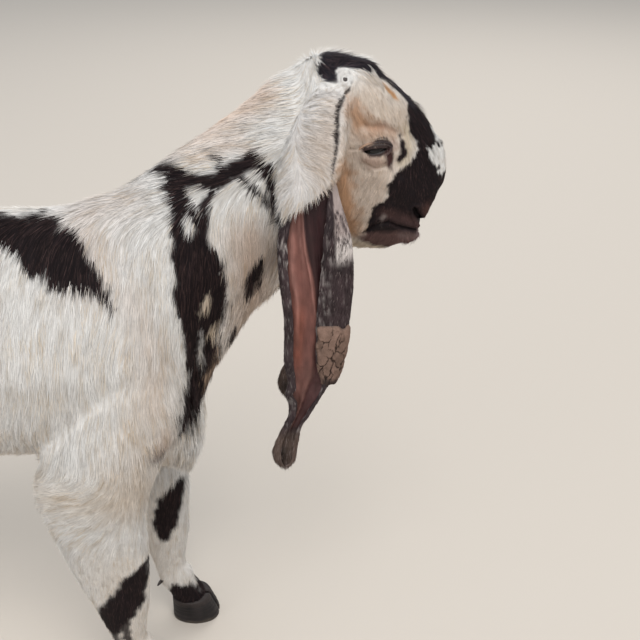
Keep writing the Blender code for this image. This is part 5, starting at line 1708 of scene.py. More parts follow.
@dataclass
class Ear:
    """A long hanging ear: a bare channel, a rolled rear edge, and a front edge that
    folds back over the outside and shows the furred back of the sheet.

    A row is its height, rear edge, front fold, free margin of the flap, and distance
    from the mid-plane.
    """

    place: Place
    finishes: Finishes
    side: str
    rows: tuple = (
        (80.5, -2.4, 1.0, 0.7, 7.2),
        (76.5, -3.6, 2.0, 0.8, 8.2),
        (72.0, -4.5, 3.3, 0.4, 8.9),
        (67.0, -4.4, 3.6, 0.0, 9.0),
        (62.4, -4.0, 3.3, -0.4, 8.9),
        (57.1, -4.1, 2.5, -0.5, 8.7),
        (54.6, -3.9, 1.9, -0.1, 8.6),
        (52.4, -3.7, 0.4, 0.1, 8.5),
        (49.2, -3.6, -1.4, -1.5, 8.4),
        (47.2, -4.3, -2.4, -2.6, 8.4),
        (45.0, -5.3, -2.85, -3.1, 8.35),
        (43.3, -5.8, -3.05, -3.4, 8.3),
        (42.0, -5.6, -3.25, -3.5, 8.25),
        (41.2, -5.1, -3.7, -3.8, 8.2),
        (40.85, -4.65, -4.25, -4.3, 8.2),
    )
    thickness: float = 0.36
    lengthwise: int = 10
    crosswise: int = 8
    ridges: tuple = (
        (0.318, 0.325, 0.013, 0.16, 60.0, 0.9),
        (0.352, 0.395, 0.009, 0.12, 68.0, 0.7),
        (0.372, 0.455, 0.010, 0.17, 63.5, 1.0),
        (0.430, 0.500, 0.016, 0.06, 60.0, 0.2),
    )

    def sections(self, rows: np.ndarray) -> np.ndarray:
        """The path across the ear at each row: roll, channel, fold and flap.

        Args:
            rows: rows of the ear, (n, 5).

        Returns:
            Points (x, y), (n, 12, 2).
        """
        height, rear, front, free, out = rows.T
        width = front - rear
        roll = np.minimum(0.75, 0.25 * width)
        lap = front - free
        curl = np.minimum(0.55, 0.3 * width) * (0.4 + 0.6 * smoothstep(43.0, 49.0, height))
        curl = curl * (0.25 + 0.75 * smoothstep(80.0, 72.5, height))
        x = [rear + 1.25 * roll, rear + 0.5 * roll, rear, rear + 0.45 * roll, rear + 0.30 * width,
             rear + 0.46 * width, rear + 0.62 * width, rear + 0.86 * width, front,
             front - 0.18 * lap, front - 0.60 * lap, free]
        y = [curl, 0.95 * curl, 0.25 * curl, -0.55 * curl, -0.75 * curl, -0.35 * curl,
             -0.80 * curl, -0.70 * curl, 0 * curl, 0.75 * curl, 1.05 * curl, 0.85 * curl]
        return np.stack([np.stack(x, axis=-1), out[:, None] + np.stack(y, axis=-1)], axis=-1)

    def ridge(self, number: int, share: np.ndarray, height: np.ndarray) -> tuple:
        """One ridge along the channel.

        Args:
            number: which: its share across at the top and 11 units lower, width,
            height, where it ends and how strong a painted highlight lies along it.
            share: how far across each point lies.
            height: how high, in units.

        Returns:
            How far each point lies from it, its width, and its height there.
        """
        upper, lower, width, tall, end, _ = self.ridges[number]
        line = upper + (lower - upper) * (75.0 - height) / 11.0
        line = line + 0.004 * np.sin(height * 0.9 + 2.0 * number)
        return share - line, width, tall * smoothstep(end - 3.0, end + 2.0, height)

    def sheet(self) -> tuple:
        """The ear's middle surface: its path at each height, both ways on smooth
        curves, with ridges along the channel, wrinkles across it and a wavy edge.

        Returns:
            Points (rows, columns, 3), unit normals, and each point's share of the
            way across and height.
        """
        rows = smooth_rows(self.rows, self.lengthwise)
        paths = self.sections(rows)
        flat = smooth_rows(paths.transpose(1, 0, 2).reshape(paths.shape[1], -1), self.crosswise)
        paths = flat.reshape(-1, len(rows), 2).transpose(1, 0, 2)
        height = np.repeat(rows[:, 0:1], paths.shape[1], axis=1)
        grid = np.stack([paths[..., 0], paths[..., 1], height], axis=-1)
        share = np.linspace(0, 1, paths.shape[1])[None, :] * np.ones((len(rows), 1))
        normal = unit_rows(np.cross(np.gradient(grid, axis=1), np.gradient(grid, axis=0)))
        third = normal.shape[1] // 3
        normal *= np.sign(normal[:, third:third + 1, 1:2])
        seed = 1 if self.side == "left" else 4
        spots = grid.reshape(-1, 3)
        wrinkle = noise(spots * np.array([0.5, 0.5, 1.4]), 1.0, seed).reshape(height.shape)
        broad = noise(spots * np.array([0.4, 0.4, 1.0]), 3.2, seed + 1).reshape(height.shape)
        lower = smoothstep(64, 52, height)
        lift = 0.05 * wrinkle * (0.5 + lower) + 0.12 * broad * lower
        for number in range(len(self.ridges)):
            away, width, tall = self.ridge(number, share, height)
            lift = lift + tall * hump(away, width)
        edge = hump(share, 0.12) + hump(1 - share, 0.10)
        grid = grid + normal * lift[..., None]
        nick = noise(spots * np.array([0.2, 0.2, 1.0]), 0.8, seed + 2).reshape(height.shape)
        bump = hump(height - 51.9, 0.8) * hump(share, 0.3)
        grid[..., 0] += 0.10 * nick * edge - 0.55 * bump
        return grid, normal, share, height

    def skin_colours(self, share: np.ndarray, height: np.ndarray, spots: np.ndarray) -> np.ndarray:
        """Colours of the bare inner face: rosy brown along the rear of the channel,
        maroon in its depth, darker towards the edges and the tip, and painted lighter
        along each ridge as a highlight.

        Args:
            share: how far across.
            height: how high, in units.
            spots: places in units.

        Returns:
            Colours, (n, 3).
        """
        rosy, maroon, umber = (0.155, 0.062, 0.050), (0.024, 0.007, 0.008), (0.024, 0.014, 0.015)
        slow = noise(spots * np.array([1.0, 1.0, 0.35]), 1.4, 21)
        fine = noise(spots * np.array([1.0, 1.0, 0.4]), 0.45, 22)
        edge_of = 0.375 + 0.085 * smoothstep(75, 64, height) + 0.012 * slow
        deep = smoothstep(edge_of, edge_of + 0.02, share)[:, None]
        deep = deep * (0.55 + 0.45 * smoothstep(58, 64, height))[:, None]
        colours = mixed(rosy, maroon, deep)
        red = hump(share - 0.335, 0.035) * smoothstep(66, 61, height) * smoothstep(53, 57, height)
        colours = mixed(colours, (0.21, 0.068, 0.046), red[:, None])
        low = smoothstep(59, 51, height + 2.0 * slow)[:, None] * 0.8
        colours = mixed(colours, (0.125, 0.062, 0.052), low)
        far = (smoothstep(0.47, 0.53, share) * smoothstep(66, 58, height))[:, None] * 0.7
        colours = mixed(colours, (0.062, 0.026, 0.028), far)
        edge = np.maximum(smoothstep(0.305, 0.275, share + 0.010 * fine), smoothstep(47.5, 45.5, height))
        colours = mixed(colours, umber, edge[:, None])
        # Painted highlight: each ridge's crest is painted lighter, by the last figure of its row.
        for number, (*_, pale) in enumerate(self.ridges):
            away, width, tall = self.ridge(number, share, height)
            ridge_highlight = np.exp(-((away / (width * 0.8)) ** 2)) * tall / 0.16 * pale * 0.8
            colours = colours + ridge_highlight[:, None] * np.array((0.15, 0.085, 0.072))
        return np.clip(colours * (1.0 + 0.28 * slow + 0.26 * fine)[:, None], 0.004, 0.9)

    def fur_colours(self, share: np.ndarray, height: np.ndarray, spots: np.ndarray) -> np.ndarray:
        """Colours of the furred back: black brown, roan on the upper flap and freckled
        along the rear roll.

        Args:
            share: how far across.
            height: how high, in units.
            spots: places in units.

        Returns:
            Colours, (n, 3).
        """
        fleck = noise(spots * np.array([1.0, 1.0, 0.5]), 0.20, 23) + 0.35 * noise(spots, 0.7, 25)
        slow = noise(spots, 1.2, 24)
        streak = noise(spots * np.array([1.0, 1.0, 0.25]), 0.30, 26)
        colours = np.array((0.034, 0.021, 0.023)) * (1.0 + 0.30 * slow + 0.35 * streak)[:, None]
        upper = smoothstep(68.6, 70.6, height + 0.8 * slow)
        roan = upper * smoothstep(0.905, 0.885, share + 0.01 * slow) * smoothstep(0.70, 0.74, share)
        roan = roan * smoothstep(0.62, 0.25, fleck - 0.25 * smoothstep(73, 70, height))
        fringe = upper * smoothstep(0.895, 0.915, share) * smoothstep(0.25, 0.6, fleck) * 0.35
        sparse = smoothstep(0.15, 0.6, fleck) * 0.28
        fringe = fringe + (1 - upper) * smoothstep(0.90, 0.96, share) * sparse
        streaks = (1 - upper) * smoothstep(0.72, 0.76, share) * smoothstep(0.45, 0.8, streak) * 0.22
        crest = hump(height - 71.4, 1.9)
        rear = smoothstep(0.30, 0.2, share) * smoothstep(0.42 - 0.4 * crest, 0.75, fleck)
        rear = rear * (0.18 + 0.62 * crest)
        pale = np.maximum.reduce([roan, fringe, streaks, rear])[:, None]
        white = smoothstep(73.5, 71.0, height)[:, None]
        shade = mixed((0.36, 0.29, 0.27), (0.60, 0.54, 0.51), white)
        colours = mixed(colours, shade, pale)
        tip = smoothstep(47.5, 45.0, height)[:, None]
        core = np.exp(-(((height - 43.0) / 1.6) ** 2) - ((share - 0.42) / 0.22) ** 2)[:, None]
        brown = np.array((0.115, 0.080, 0.066)) * (1 + 0.35 * slow[:, None]) * (1 - 0.75 * core)
        return mixed(colours, brown, tip)

    def build(self) -> tuple:
        """The ear as a closed sheet, with rounded margins.

        Returns:
            The piece, and for each face the points, normals and colours of its fur and
            how thickly it grows.
        """
        grid, normal, share, height = self.sheet()
        sign = np.array([1.0, SIDES[self.side], 1.0])
        rim = np.clip(1 - np.abs(2 * share - 1) ** 14, 0.12, 1) ** 0.5
        taper = 1.0 - 0.38 * smoothstep(70, 42, height)
        half = (self.thickness / 2 * rim * taper)[..., None]
        inside, outside = grid + normal * half, grid - normal * half
        rings = np.concatenate([inside, outside[:, ::-1]], axis=1) * sign
        mesh = closed_tube(f"ear_{self.side}_blade", self.place.metres(rings))
        columns = share.shape[1]
        flat_share = np.concatenate([share, share[:, ::-1]], axis=1)
        flat_height = np.concatenate([height, height], axis=1)
        face = (np.arange(2 * columns) >= columns)[None, :] * np.ones((len(share), 1))
        spots = rings.reshape(-1, 3)
        bare = self.skin_colours(flat_share.ravel(), flat_height.ravel(), spots)
        fur = self.fur_colours(flat_share.ravel(), flat_height.ravel(), spots)
        back = face.reshape(-1, 1)
        near = np.maximum(smoothstep(0.975, 0.995, flat_share.ravel()),
                          smoothstep(46.8, 45.2, flat_height.ravel()))[:, None]
        colours = bare * (1 - back) * (1 - near) + fur * np.maximum(back, near)
        colours = np.clip(np.vstack([colours, colours[[0, -1]]]), 0.003, 1)
        blade = self.finishes.piece(f"ear_{self.side}_blade", mesh, colours, Finish.EAR)
        roots = []
        for points, facing, low in ((outside, -normal, 76.0), (inside, normal, 47.0)):
            fur_only = self.fur_colours(share.ravel(), height.ravel(), (points * sign).reshape(-1, 3))
            room = smoothstep(low + 0.5, low - 1.5, height)
            roots.append((points * sign, facing * sign, fur_only.reshape(*share.shape, 3), room))
        return blade, roots


@dataclass
class MudPatch:
    """Dry mud caked round the lower part of an ear's folded flap, cracked into plates."""

    place: Place
    finishes: Finishes
    ear: Ear
    top: float = 61.6
    bottom: float = 53.4
    start: float = 0.665
    cells: int = 24
    seed: int = 5

    def build(self) -> bpy.types.Object:
        """The crust: a raised copy of the flap's outer face inside a ragged outline,
        lowered along the borders between scattered seeds.

        Returns:
            The piece.
        """
        grid, normal, share, height = self.ear.sheet()
        sign = np.array([1.0, SIDES[self.ear.side], 1.0])
        keep = (height[:, 0] < self.top + 0.6) & (height[:, 0] > self.bottom - 0.6)
        across = share[0] > self.start
        grid, normal = grid[keep][:, across], normal[keep][:, across]
        share, height = share[keep][:, across], height[keep][:, across]
        stacked = np.concatenate([grid, normal, share[..., None], height[..., None]], axis=-1)
        stacked = smooth_rows(stacked.reshape(len(grid), -1), 5).reshape(-1, *stacked.shape[1:])
        swapped = stacked.transpose(1, 0, 2)
        swapped = smooth_rows(swapped.reshape(len(swapped), -1), 3).reshape(-1, *swapped.shape[1:])
        stacked = swapped.transpose(1, 0, 2)
        grid, normal = stacked[..., :3], unit_rows(stacked[..., 3:6])
        share, height = stacked[..., 6], stacked[..., 7]
        u = (share - self.start) / (1 - self.start) * 6.2
        v = height - self.bottom
        rng = np.random.default_rng(self.seed)
        tall = self.top - self.bottom
        seeds = np.stack([rng.uniform(0, 6.2, self.cells), rng.uniform(0, tall, self.cells)], axis=-1)
        spots = np.stack([u.ravel(), v.ravel(), 0 * u.ravel()], axis=-1)
        bent = spots[:, :2] + 0.35 * np.stack([noise(spots, 0.8, 31), noise(spots, 0.8, 32)], axis=-1)
        bent = bent + 0.10 * np.stack([noise(spots, 0.25, 37), noise(spots, 0.25, 38)], axis=-1)
        squeeze = np.array([1.0, 0.62])
        apart = np.linalg.norm((bent[:, None] - seeds[None]) * squeeze, axis=-1)
        away = np.sort(apart, axis=1)
        border = away[:, 1] - away[:, 0]
        open_ = 0.5 + 0.5 * noise(spots, 1.6, 39)
        crack = smoothstep(0.05 + 0.12 * open_, 0.01, border) * smoothstep(0.1, 0.45, open_)
        ragged = noise(spots, 0.9, 33) * 0.35
        edge = np.minimum.reduce([spots[:, 0] - 0.2, 6.3 - spots[:, 0], spots[:, 1], tall - spots[:, 1]])
        cover = smoothstep(-0.1, 0.45, edge + ragged)
        plates = lattice(np.stack([np.argmin(apart, axis=1)] * 3, axis=-1), 7)
        lumps = noise(spots, 0.5, 34) * 0.06 + noise(spots, 0.16, 35) * 0.02
        clot = smoothstep(1.5, 0.7, v.ravel())
        clot = clot * smoothstep(0.8, 2.0, u.ravel()) * smoothstep(6.0, 4.6, u.ravel())
        rise = 0.14 + 0.08 * plates + 0.16 * np.clip(edge, 0, 1.2) + lumps - 0.13 * crack + 0.16 * clot
        rise = rise * cover
        rise = rise - 0.16 * (1 - cover)
        half = self.ear.thickness / 2 * 0.9
        upper = grid - normal * (half + rise.reshape(u.shape))[..., None]
        lower = grid - normal * (half - 0.2)
        rings = np.concatenate([upper, lower[:, ::-1]], axis=1) * sign
        mesh = closed_tube("ear_mud", self.place.metres(rings))
        tone = 0.88 + 0.20 * plates + 0.22 * noise(spots, 0.5, 36)
        tone = tone + 0.18 * smoothstep(4.5, 8.0, v.ravel())
        dust = np.array((0.172, 0.110, 0.085)) * tone[:, None]
        colours = dust * (1 - crack[:, None] * 0.85)
        colours = colours * (1 - clot[:, None] * 0.9) + np.array((0.030, 0.021, 0.019)) * clot[:, None]
        colours = mixed((0.09, 0.065, 0.055), colours, cover[:, None]).reshape(*u.shape, 3)
        both = np.concatenate([colours, colours[:, ::-1]], axis=1).reshape(-1, 3)
        both = np.clip(np.vstack([both, both[[0, -1]]]), 0.003, 1)
        return self.finishes.piece("ear_mud", mesh, both, Finish.MUD)


@dataclass
class Hoof:
    """One claw of a foot: a half ellipse in plan, nearly flat at the cleft."""

    place: Place
    finishes: Finishes
    frame: Frame
    leg: str
    side: str
    claw: str
    rows: tuple = (
        (4.0, 0.0, 2.95, 2.75),
        (2.9, 0.25, 3.15, 2.85),
        (1.3, 0.55, 3.5, 2.95),
        (0.0, 0.7, 3.7, 2.95),
    )
    cleft: float = 0.22

    def build(self) -> bpy.types.Object:
        """The claw, with growth rings, a worn rim and a sole that cups slightly.

        Returns:
            The piece.
        """
        stations = self.frame.stations(self.leg)
        sign = SIDES[self.side]
        facing = sign if self.claw == "outer" else -sign
        middle = stations[-1][0] + self.frame.steps[f"{self.leg}_{self.side}"]
        rows = smooth_rows(self.rows, 12)
        height, shift, length, width = (rows[:, i:i + 1] for i in range(4))
        rings_of = 0.035 * np.sin(height * 9.0 + 1.5 * np.sin(height * 2.3))
        rings_of = rings_of * smoothstep(0.0, 0.5, height)
        arc = np.linspace(-math.pi / 2, math.pi / 2, 40)[None, :]
        grow = 1 + rings_of / 3.0 - 0.02 * smoothstep(0.25, 0.0, height)
        x = length * grow * np.sin(arc)
        y = self.cleft + (width * grow - self.cleft) * np.cos(arc) ** 0.8
        flat = np.linspace(1, -1, 16)[None, 1:-1]
        cleft = np.full((len(rows), flat.shape[1]), self.cleft)
        inner = np.stack([length * grow * flat, cleft], axis=-1)
        hollow = 0.12 * (1 - flat**2) * smoothstep(4.0, 2.0, height)
        inner[..., 1] += hollow
        ring = np.concatenate([np.stack([x, y], axis=-1), inner], axis=1)
        points = np.concatenate([ring, np.repeat(height[..., None], ring.shape[1], axis=1)], axis=-1)
        points[..., 0] += middle + shift
        points[..., 1] = sign * stations[-1][1] + facing * points[..., 1]
        lumps = noise(points.reshape(-1, 3), 0.9, 41).reshape(points.shape[:2])
        points[..., 1] += facing * 0.03 * lumps
        mesh = closed_tube("hoof", self.place.metres(points))
        spots = points.reshape(-1, 3)
        dark = noise(spots * np.array([1.0, 1.0, 0.3]), 0.8, 42)
        horn = np.array((0.013, 0.010, 0.010)) * (1.15 + 0.5 * dark)[:, None]
        band = smoothstep(2.9, 3.9, spots[:, 2] + 0.2 * dark)[:, None]
        horn = mixed(horn, (0.030, 0.022, 0.020), band)
        dust = (smoothstep(0.9, 0.1, spots[:, 2] + 0.5 * dark) * 0.22)[:, None]
        horn = mixed(horn, (0.27, 0.22, 0.17), dust)
        name = f"claw_{self.leg}_{self.side}_{self.claw}"
        return self.finishes.piece(name, mesh, np.vstack([horn, horn[[0, -1]]]), Finish.HOOF)


@dataclass
class Dewclaws:
    """The two small horn points behind each fetlock."""

    place: Place
    finishes: Finishes
    frame: Frame
    leg: str
    side: str

    def build(self) -> list:
        """Blunt cones that point down and back from behind the fetlock: the radius
        falls as the square root of what is left of the way to the tip.

        Returns:
            The two pieces.
        """
        back, z = (-29.0, 7.3) if self.leg == "fore" else (-88.5, 7.7)
        stations = self.frame.stations(self.leg)
        x = back + self.frame.steps[f"{self.leg}_{self.side}"]
        y = SIDES[self.side] * stations[-1][1]
        along = np.linspace(0, 1, 14)[:, None]
        angle = circle(24)[None, :]
        radius = 0.66 * np.sqrt(1.01 - along**2) * (1 + 0.03 * np.sin(along * 30))
        made = []
        for number, offset in enumerate((-1.15, 1.15)):
            dx = 0.65 - 1.05 * along + radius * np.cos(angle) * 0.75
            dz = 0.75 - 1.55 * along + radius * np.cos(angle) * 0.45
            points = np.stack([x + dx, y + offset + radius * np.sin(angle) + 0 * along,
                               z + dz], axis=-1)
            mesh = closed_tube("dewclaw", self.place.metres(points))
            spots = points.reshape(-1, 3)
            horn = np.array((0.036, 0.027, 0.025)) * (1.1 + 0.5 * noise(spots, 0.3, 44))[:, None]
            name = f"dewclaw_{self.leg}_{self.side}_{number + 1}"
            horn = np.vstack([horn, horn[[0, -1]]])
            made.append(self.finishes.piece(name, mesh, horn, Finish.HOOF))
        return made


@dataclass
class HornBud:
    """A small rough knob of horn in the whorl of the crown."""

    place: Place
    finishes: Finishes
    side: str
    centre: tuple = (2.7, 2.9, 88.0)
    radius: float = 0.29

    def build(self) -> bpy.types.Object:
        """A dome with ridges round it: a sphere whose radius is broken by noise.

        Returns:
            The piece.
        """
        sign = SIDES[self.side]
        latitude = np.linspace(0.02, 0.98, 40)[:, None] * math.pi
        angle = circle(48)[None, :]
        ball = np.stack([np.sin(latitude) * np.cos(angle), np.sin(latitude) * np.sin(angle),
                         np.cos(latitude) * np.ones_like(angle)], axis=-1)
        rough = 1 + 0.22 * noise(ball.reshape(-1, 3), 0.40, 51).reshape(ball.shape[:2])
        lean = np.array([0.0, 0.55, 0.85])
        points = ball * self.radius * rough[..., None] * np.array([1.0, 1.0, 1.15])
        points = (points + np.array(self.centre) + 0.20 * lean) * np.array([1.0, sign, 1.0])
        mesh = closed_tube(f"bud_{self.side}", self.place.metres(points))
        colours = np.tile((0.075, 0.062, 0.058), (len(mesh.vertices), 1))
        return self.finishes.piece(f"bud_{self.side}", mesh, colours, Finish.BUD)


TUFT_BENT = np.array([
    (0, 2, 5), (0, 5, 3), (2, 1, 4), (2, 4, 5), (1, 0, 3), (1, 3, 4),
    (3, 5, 6), (5, 4, 6), (4, 3, 6), (0, 1, 2),
])
TUFT_STRAIGHT = np.array([(0, 2, 3), (2, 1, 3), (1, 0, 3), (0, 1, 2)])
PATCH_HALF = 0.0015


@dataclass
class Roots:
    """Where tufts grow: places, normals, unwrapped places, lies, lengths and colours."""

    points: np.ndarray
    normals: np.ndarray
    places: np.ndarray
    lies: np.ndarray
    lengths: np.ndarray
    colours: np.ndarray

    def part(self, chosen: np.ndarray) -> "Roots":
        """The chosen tufts."""
        return Roots(self.points[chosen], self.normals[chosen], self.places[chosen],
                     self.lies[chosen], self.lengths[chosen], self.colours[chosen])


@dataclass
class Coat:
    """The coat as closed mesh tufts: long bent ones where it hangs shaggy, and fine
    straight ones elsewhere, smallest on the face, the lower legs and the ears."""

    place: Place
    finishes: Finishes
    pelt: Pelt
    markings: Markings
    bent: int = 40000
    straight: int = 244000
    bent_piece: int = 19000
    straight_piece: int = 48000
    shaggy: float = 2.75
    seed: int = 17

    def scatter(self, skin: bpy.types.Object) -> Roots:
        """Choose roots on the skin, closer together where the tufts are smaller, and
        none on the rims of the eyes, in the nostrils or on the hooves.

        Args:
            skin: the skin.

        Returns:
            The roots, in units, with the bent ones first.
        """
        mesh = skin.data
        points, normals = self.place.units(vertices_of(mesh)), normals_of(mesh)
        corners = np.empty(len(mesh.loops), np.int32)
        mesh.loops.foreach_get("vertex_index", corners)
        corners = corners.reshape(-1, 3)
        flat = np.empty(len(mesh.loops) * 2, np.float32)
        mesh.uv_layers[BAKE_MAP].uv.foreach_get("vector", flat)
        flat = flat.reshape(-1, 3, 2)
        a, b, c = (points[corners[:, i]] for i in range(3))
        area = np.linalg.norm(np.cross(b - a, c - a), axis=1) / 2
        middle = (a + b + c) / 3
        length = self.pelt.length(middle)
        need = area / (length * self.pelt.width(length)) * self.bare(middle)
        need = need * (0.35 + 0.65 * smoothstep(0.5, 1.8, length))
        rng = np.random.default_rng(self.seed)
        long = length * rng.uniform(0.88, 1.12, len(length)) > self.shaggy
        chosen = []
        for wanted, count in ((long, self.bent), (~long, self.straight)):
            total = np.cumsum(need * wanted)
            chosen.append(np.searchsorted(total, rng.random(count) * total[-1]))
            LOG.info("tufts: %d on %.0f square units", count, float(area[wanted].sum()))
        chosen = np.concatenate(chosen)
        share = rng.random((2, len(chosen)))
        share = np.where(share.sum(axis=0) > 1, 1 - share, share)
        weights = np.stack([1 - share.sum(axis=0), share[0], share[1]], axis=-1)[..., None]
        root = (points[corners[chosen]] * weights).sum(axis=1)
        normal = unit_rows((normals[corners[chosen]] * weights).sum(axis=1))
        place = (flat[chosen] * weights).sum(axis=1)
        lie = self.pelt.lie(root, normal)
        length = self.pelt.length(root) * rng.uniform(0.68, 1.22, len(root))
        reach = 0.45 + 0.25 * strands(root, lie, 0.22, 0.75, 65)
        colours = self.tones(root + lie * (length * reach)[:, None], lie, rng)
        return Roots(root, normal, place, lie, length, colours)

    @staticmethod
    def bare(points: np.ndarray) -> np.ndarray:
        """How thickly the coat grows: none on the rims of the eyes, in the nostrils,
        along the mouth and on the hooves, and thin on the lips."""
        seen = points[:, [0, 2]]
        flank = np.abs(points[:, 1]) > 3.2
        head = ahead_of(points, HEAD_CUT) > 0
        grow = np.where(head & flank, smoothstep(-0.02, 0.3, lid_room(points)), 1.0)
        pit = smoothstep(0.15, 0.5, path_distance(seen, FaceRelief.nostril))
        grow = grow * np.where(head & (np.abs(points[:, 1]) > 1.2), pit, 1.0)
        lips = smoothstep(0.08, 0.5, path_distance(seen, FaceRelief.mouth))
        grow = grow * np.where(head, lips, 1.0)
        groove = smoothstep(0.10, 0.26, path_distance(seen, FaceRelief.parting))
        grow = grow * np.where(head & (np.abs(points[:, 1]) > 3.3), groove, 1.0)
        return grow * smoothstep(3.6, 4.0, points[:, 2])

    def tones(self, points: np.ndarray, lies: np.ndarray, rng: np.random.Generator) -> np.ndarray:
        """The markings with each tuft's own shade: light hair drifts between white and
        cream, dark hair towards brown with painted highlights along its strands, and
        streaks run along the lie.

        Args:
            points: where each tuft shows, in units.
            lies: the way it lies.
            rng: the source of chance.

        Returns:
            Colours, (n, 3).
        """
        colours = self.markings.paint(points)
        shade = rng.normal(1.0, 0.065, (len(points), 1))
        warm = np.clip(0.5 * noise(points, 2.6, 61) + 0.25 * noise(points, 0.7, 62)
                       + rng.normal(0, 0.3, len(points)), 0, 1)[:, None]
        light = smoothstep(0.2, 0.5, colours.mean(axis=1))[:, None]
        fine = strands(points, lies, 0.17, 0.70, 63)[:, None]
        broad = strands(points, lies, 0.55, 1.8, 64)[:, None]
        face = smoothstep(0.0, 2.0, ahead_of(points, HEAD_CUT))[:, None]
        shade = shade * (1 + (0.13 + 0.14 * face) * fine + 0.065 * broad)
        warm = np.clip(warm - 0.35 * broad - 0.25 * fine, 0, 1.3)
        colours = colours * (1 - 0.24 * warm * light * np.array([0.25, 0.7, 1.25]))
        # Painted highlight: dark hair is lifted towards brown along the strands.
        colours = colours + np.clip(fine, 0, 1) * (1 - light) * np.array([0.014, 0.008, 0.008])
        brown = rng.random((len(points), 1)) ** 4 * (1 - light)
        colours = colours + brown * np.array([0.045, 0.026, 0.022])
        return np.clip(colours * shade, 0.004, 0.95)

    def tufts(self, roots: Roots, rng: np.random.Generator, bent: bool) -> tuple:
        """Tufts as three-sided spikes with a ridge: each runs from its root at a low
        angle, and a bent one flattens towards its tip; tips near one another draw
        together.

        Args:
            roots: where they grow.
            rng: the source of chance.
            bent: whether they have a middle ring.

        Returns:
            Points in units and normals, (n, k, 3), painted shading for each point of a
            tuft (darker at the root, lighter at the tip), and its offsets in the unwrap.
        """
        count = len(roots.points)
        length = roots.lengths[:, None]
        normal, lie = roots.normals, roots.lies
        turn = rng.normal(0, 0.10, (count, 1))
        lie = lie * np.cos(turn) + np.cross(normal, lie) * np.sin(turn)
        side = np.cross(normal, lie)
        width = self.pelt.width(length) * rng.uniform(0.75, 1.3, (count, 1))
        start = rng.normal(17 if bent else 9, 4, (count, 1)).clip(2, None)
        raised = self.pelt.lift(roots.points)[:, None] * rng.uniform(0.5, 1.0, (count, 1))
        start = np.radians(start + raised)
        end = np.radians(rng.normal(4, 5, (count, 1))) + start * 0.3 if bent else start
        root = roots.points - normal * width * 0.35
        middle = root + (lie * np.cos(start) + normal * np.sin(start)) * length * 0.5
        tip = middle + (lie * np.cos(end) + normal * np.sin(end)) * length * 0.5
        droop = 0.02 * np.clip(length - 1.8, 0, None) ** 2
        tip = tip - np.array([0.0, 0.0, 1.0]) * droop
        cells = np.floor(roots.points / (0.25 + 0.16 * np.median(length))).astype(np.int64)
        keys = cells @ np.array(CELL_PRIMES)
        _, group = np.unique(keys, return_inverse=True)
        size = np.bincount(group)[:, None]
        mean = np.stack([np.bincount(group, tip[:, i]) for i in range(3)], axis=-1) / size
        pull = rng.uniform(0.1, 0.45, (count, 1))
        pull = pull * (0.35 + 0.65 * smoothstep(0.3, 1.0, ear_base_distance(roots.points))[:, None])
        tip = mixed(tip, mean[group], pull)
        base = [root + side * width * 0.5, root - side * width * 0.5, root + normal * width * 0.4]
        shown = [normal + side * 0.6, normal - side * 0.6, normal]
        if not bent:
            # Painted shading: the root is darker, the ridge lighter and the tip lightest.
            painted_shading = np.array([0.82, 0.82, 0.90, 1.05])
            offsets = np.array([(-1, -1), (1, -1), (0, 0), (0, 1)]) * PATCH_HALF
            return np.stack([*base, tip], 1), np.stack([*shown, normal], 1), painted_shading, offsets
        middle = middle + (mean[group] - tip) * 0.15 * pull
        ring = [middle + side * width * 0.44, middle - side * width * 0.44,
                middle + normal * width * 0.3]
        # Painted shading: the root is darker and the tuft lightens towards its tip.
        painted_shading = np.array([0.80, 0.80, 0.86, 0.96, 0.96, 1.0, 1.05])
        offsets = np.array([(-1, -1), (1, -1), (0, -1), (-1, 0), (1, 0), (0, 0), (0, 1)]) * PATCH_HALF
        return (np.stack([*base, *ring, tip], 1), np.stack([*shown, *shown, normal], 1),
                painted_shading, offsets)

    def piece(self, name: str, roots: Roots, bent: bool, finish: Finish) -> bpy.types.Object:
        """One mesh of tufts, shaded nearly as the skin under them.

        Args:
            name: the piece's name.
            roots: where they grow.
            bent: whether they bend.
            finish: what they are made of.

        Returns:
            The piece.
        """
        rng = np.random.default_rng([self.seed, sum(name.encode())])
        points, normals, painted_shading, offsets = self.tufts(roots, rng, bent)
        pattern = TUFT_BENT if bent else TUFT_STRAIGHT
        each = points.shape[1]
        faces = (np.arange(len(points))[:, None, None] * each + pattern[None]).reshape(-1, 3)
        mesh = mesh_from(name, self.place.metres(points.reshape(-1, 3)), faces)
        mesh.normals_split_custom_set_from_vertices(unit_rows(normals.reshape(-1, 3)))
        # Each tuft's colour times the painted shading along it.
        colours = roots.colours[:, None, :] * painted_shading[None, :, None]
        flat = (roots.places[:, None, :] + offsets[None]).reshape(-1, 2)
        layer = mesh.uv_layers.new(name=BAKE_MAP)
        layer.uv.foreach_set("vector", np.ascontiguousarray(flat[faces.ravel()], np.float32).ravel())
        LOG.info("%s: %d tufts, %d triangles", name, len(points), len(faces))
        return self.finishes.piece(name, mesh, np.clip(colours.reshape(-1, 3), 0.003, 1.0), finish)

    def build(self, skin: bpy.types.Object) -> list:
        """The coat over the skin, in pieces from the tail forwards.

        Args:
            skin: the skin, unwrapped.

        Returns:
            The pieces.
        """
        roots = self.scatter(skin)
        order = np.arange(len(roots.points))
        pieces = []
        for bent, chosen, limit, name in (
            (True, order[: self.bent], self.bent_piece, "coat_long"),
            (False, order[self.bent:], self.straight_piece, "coat_short"),
        ):
            chosen = chosen[np.argsort(roots.points[chosen, 0], kind="stable")]
            parts = math.ceil(len(chosen) / limit)
            for number, part in enumerate(np.array_split(chosen, parts)):
                pieces.append(self.piece(f"{name}_{number + 1}", roots.part(part), bent, Finish.COAT))
        return pieces

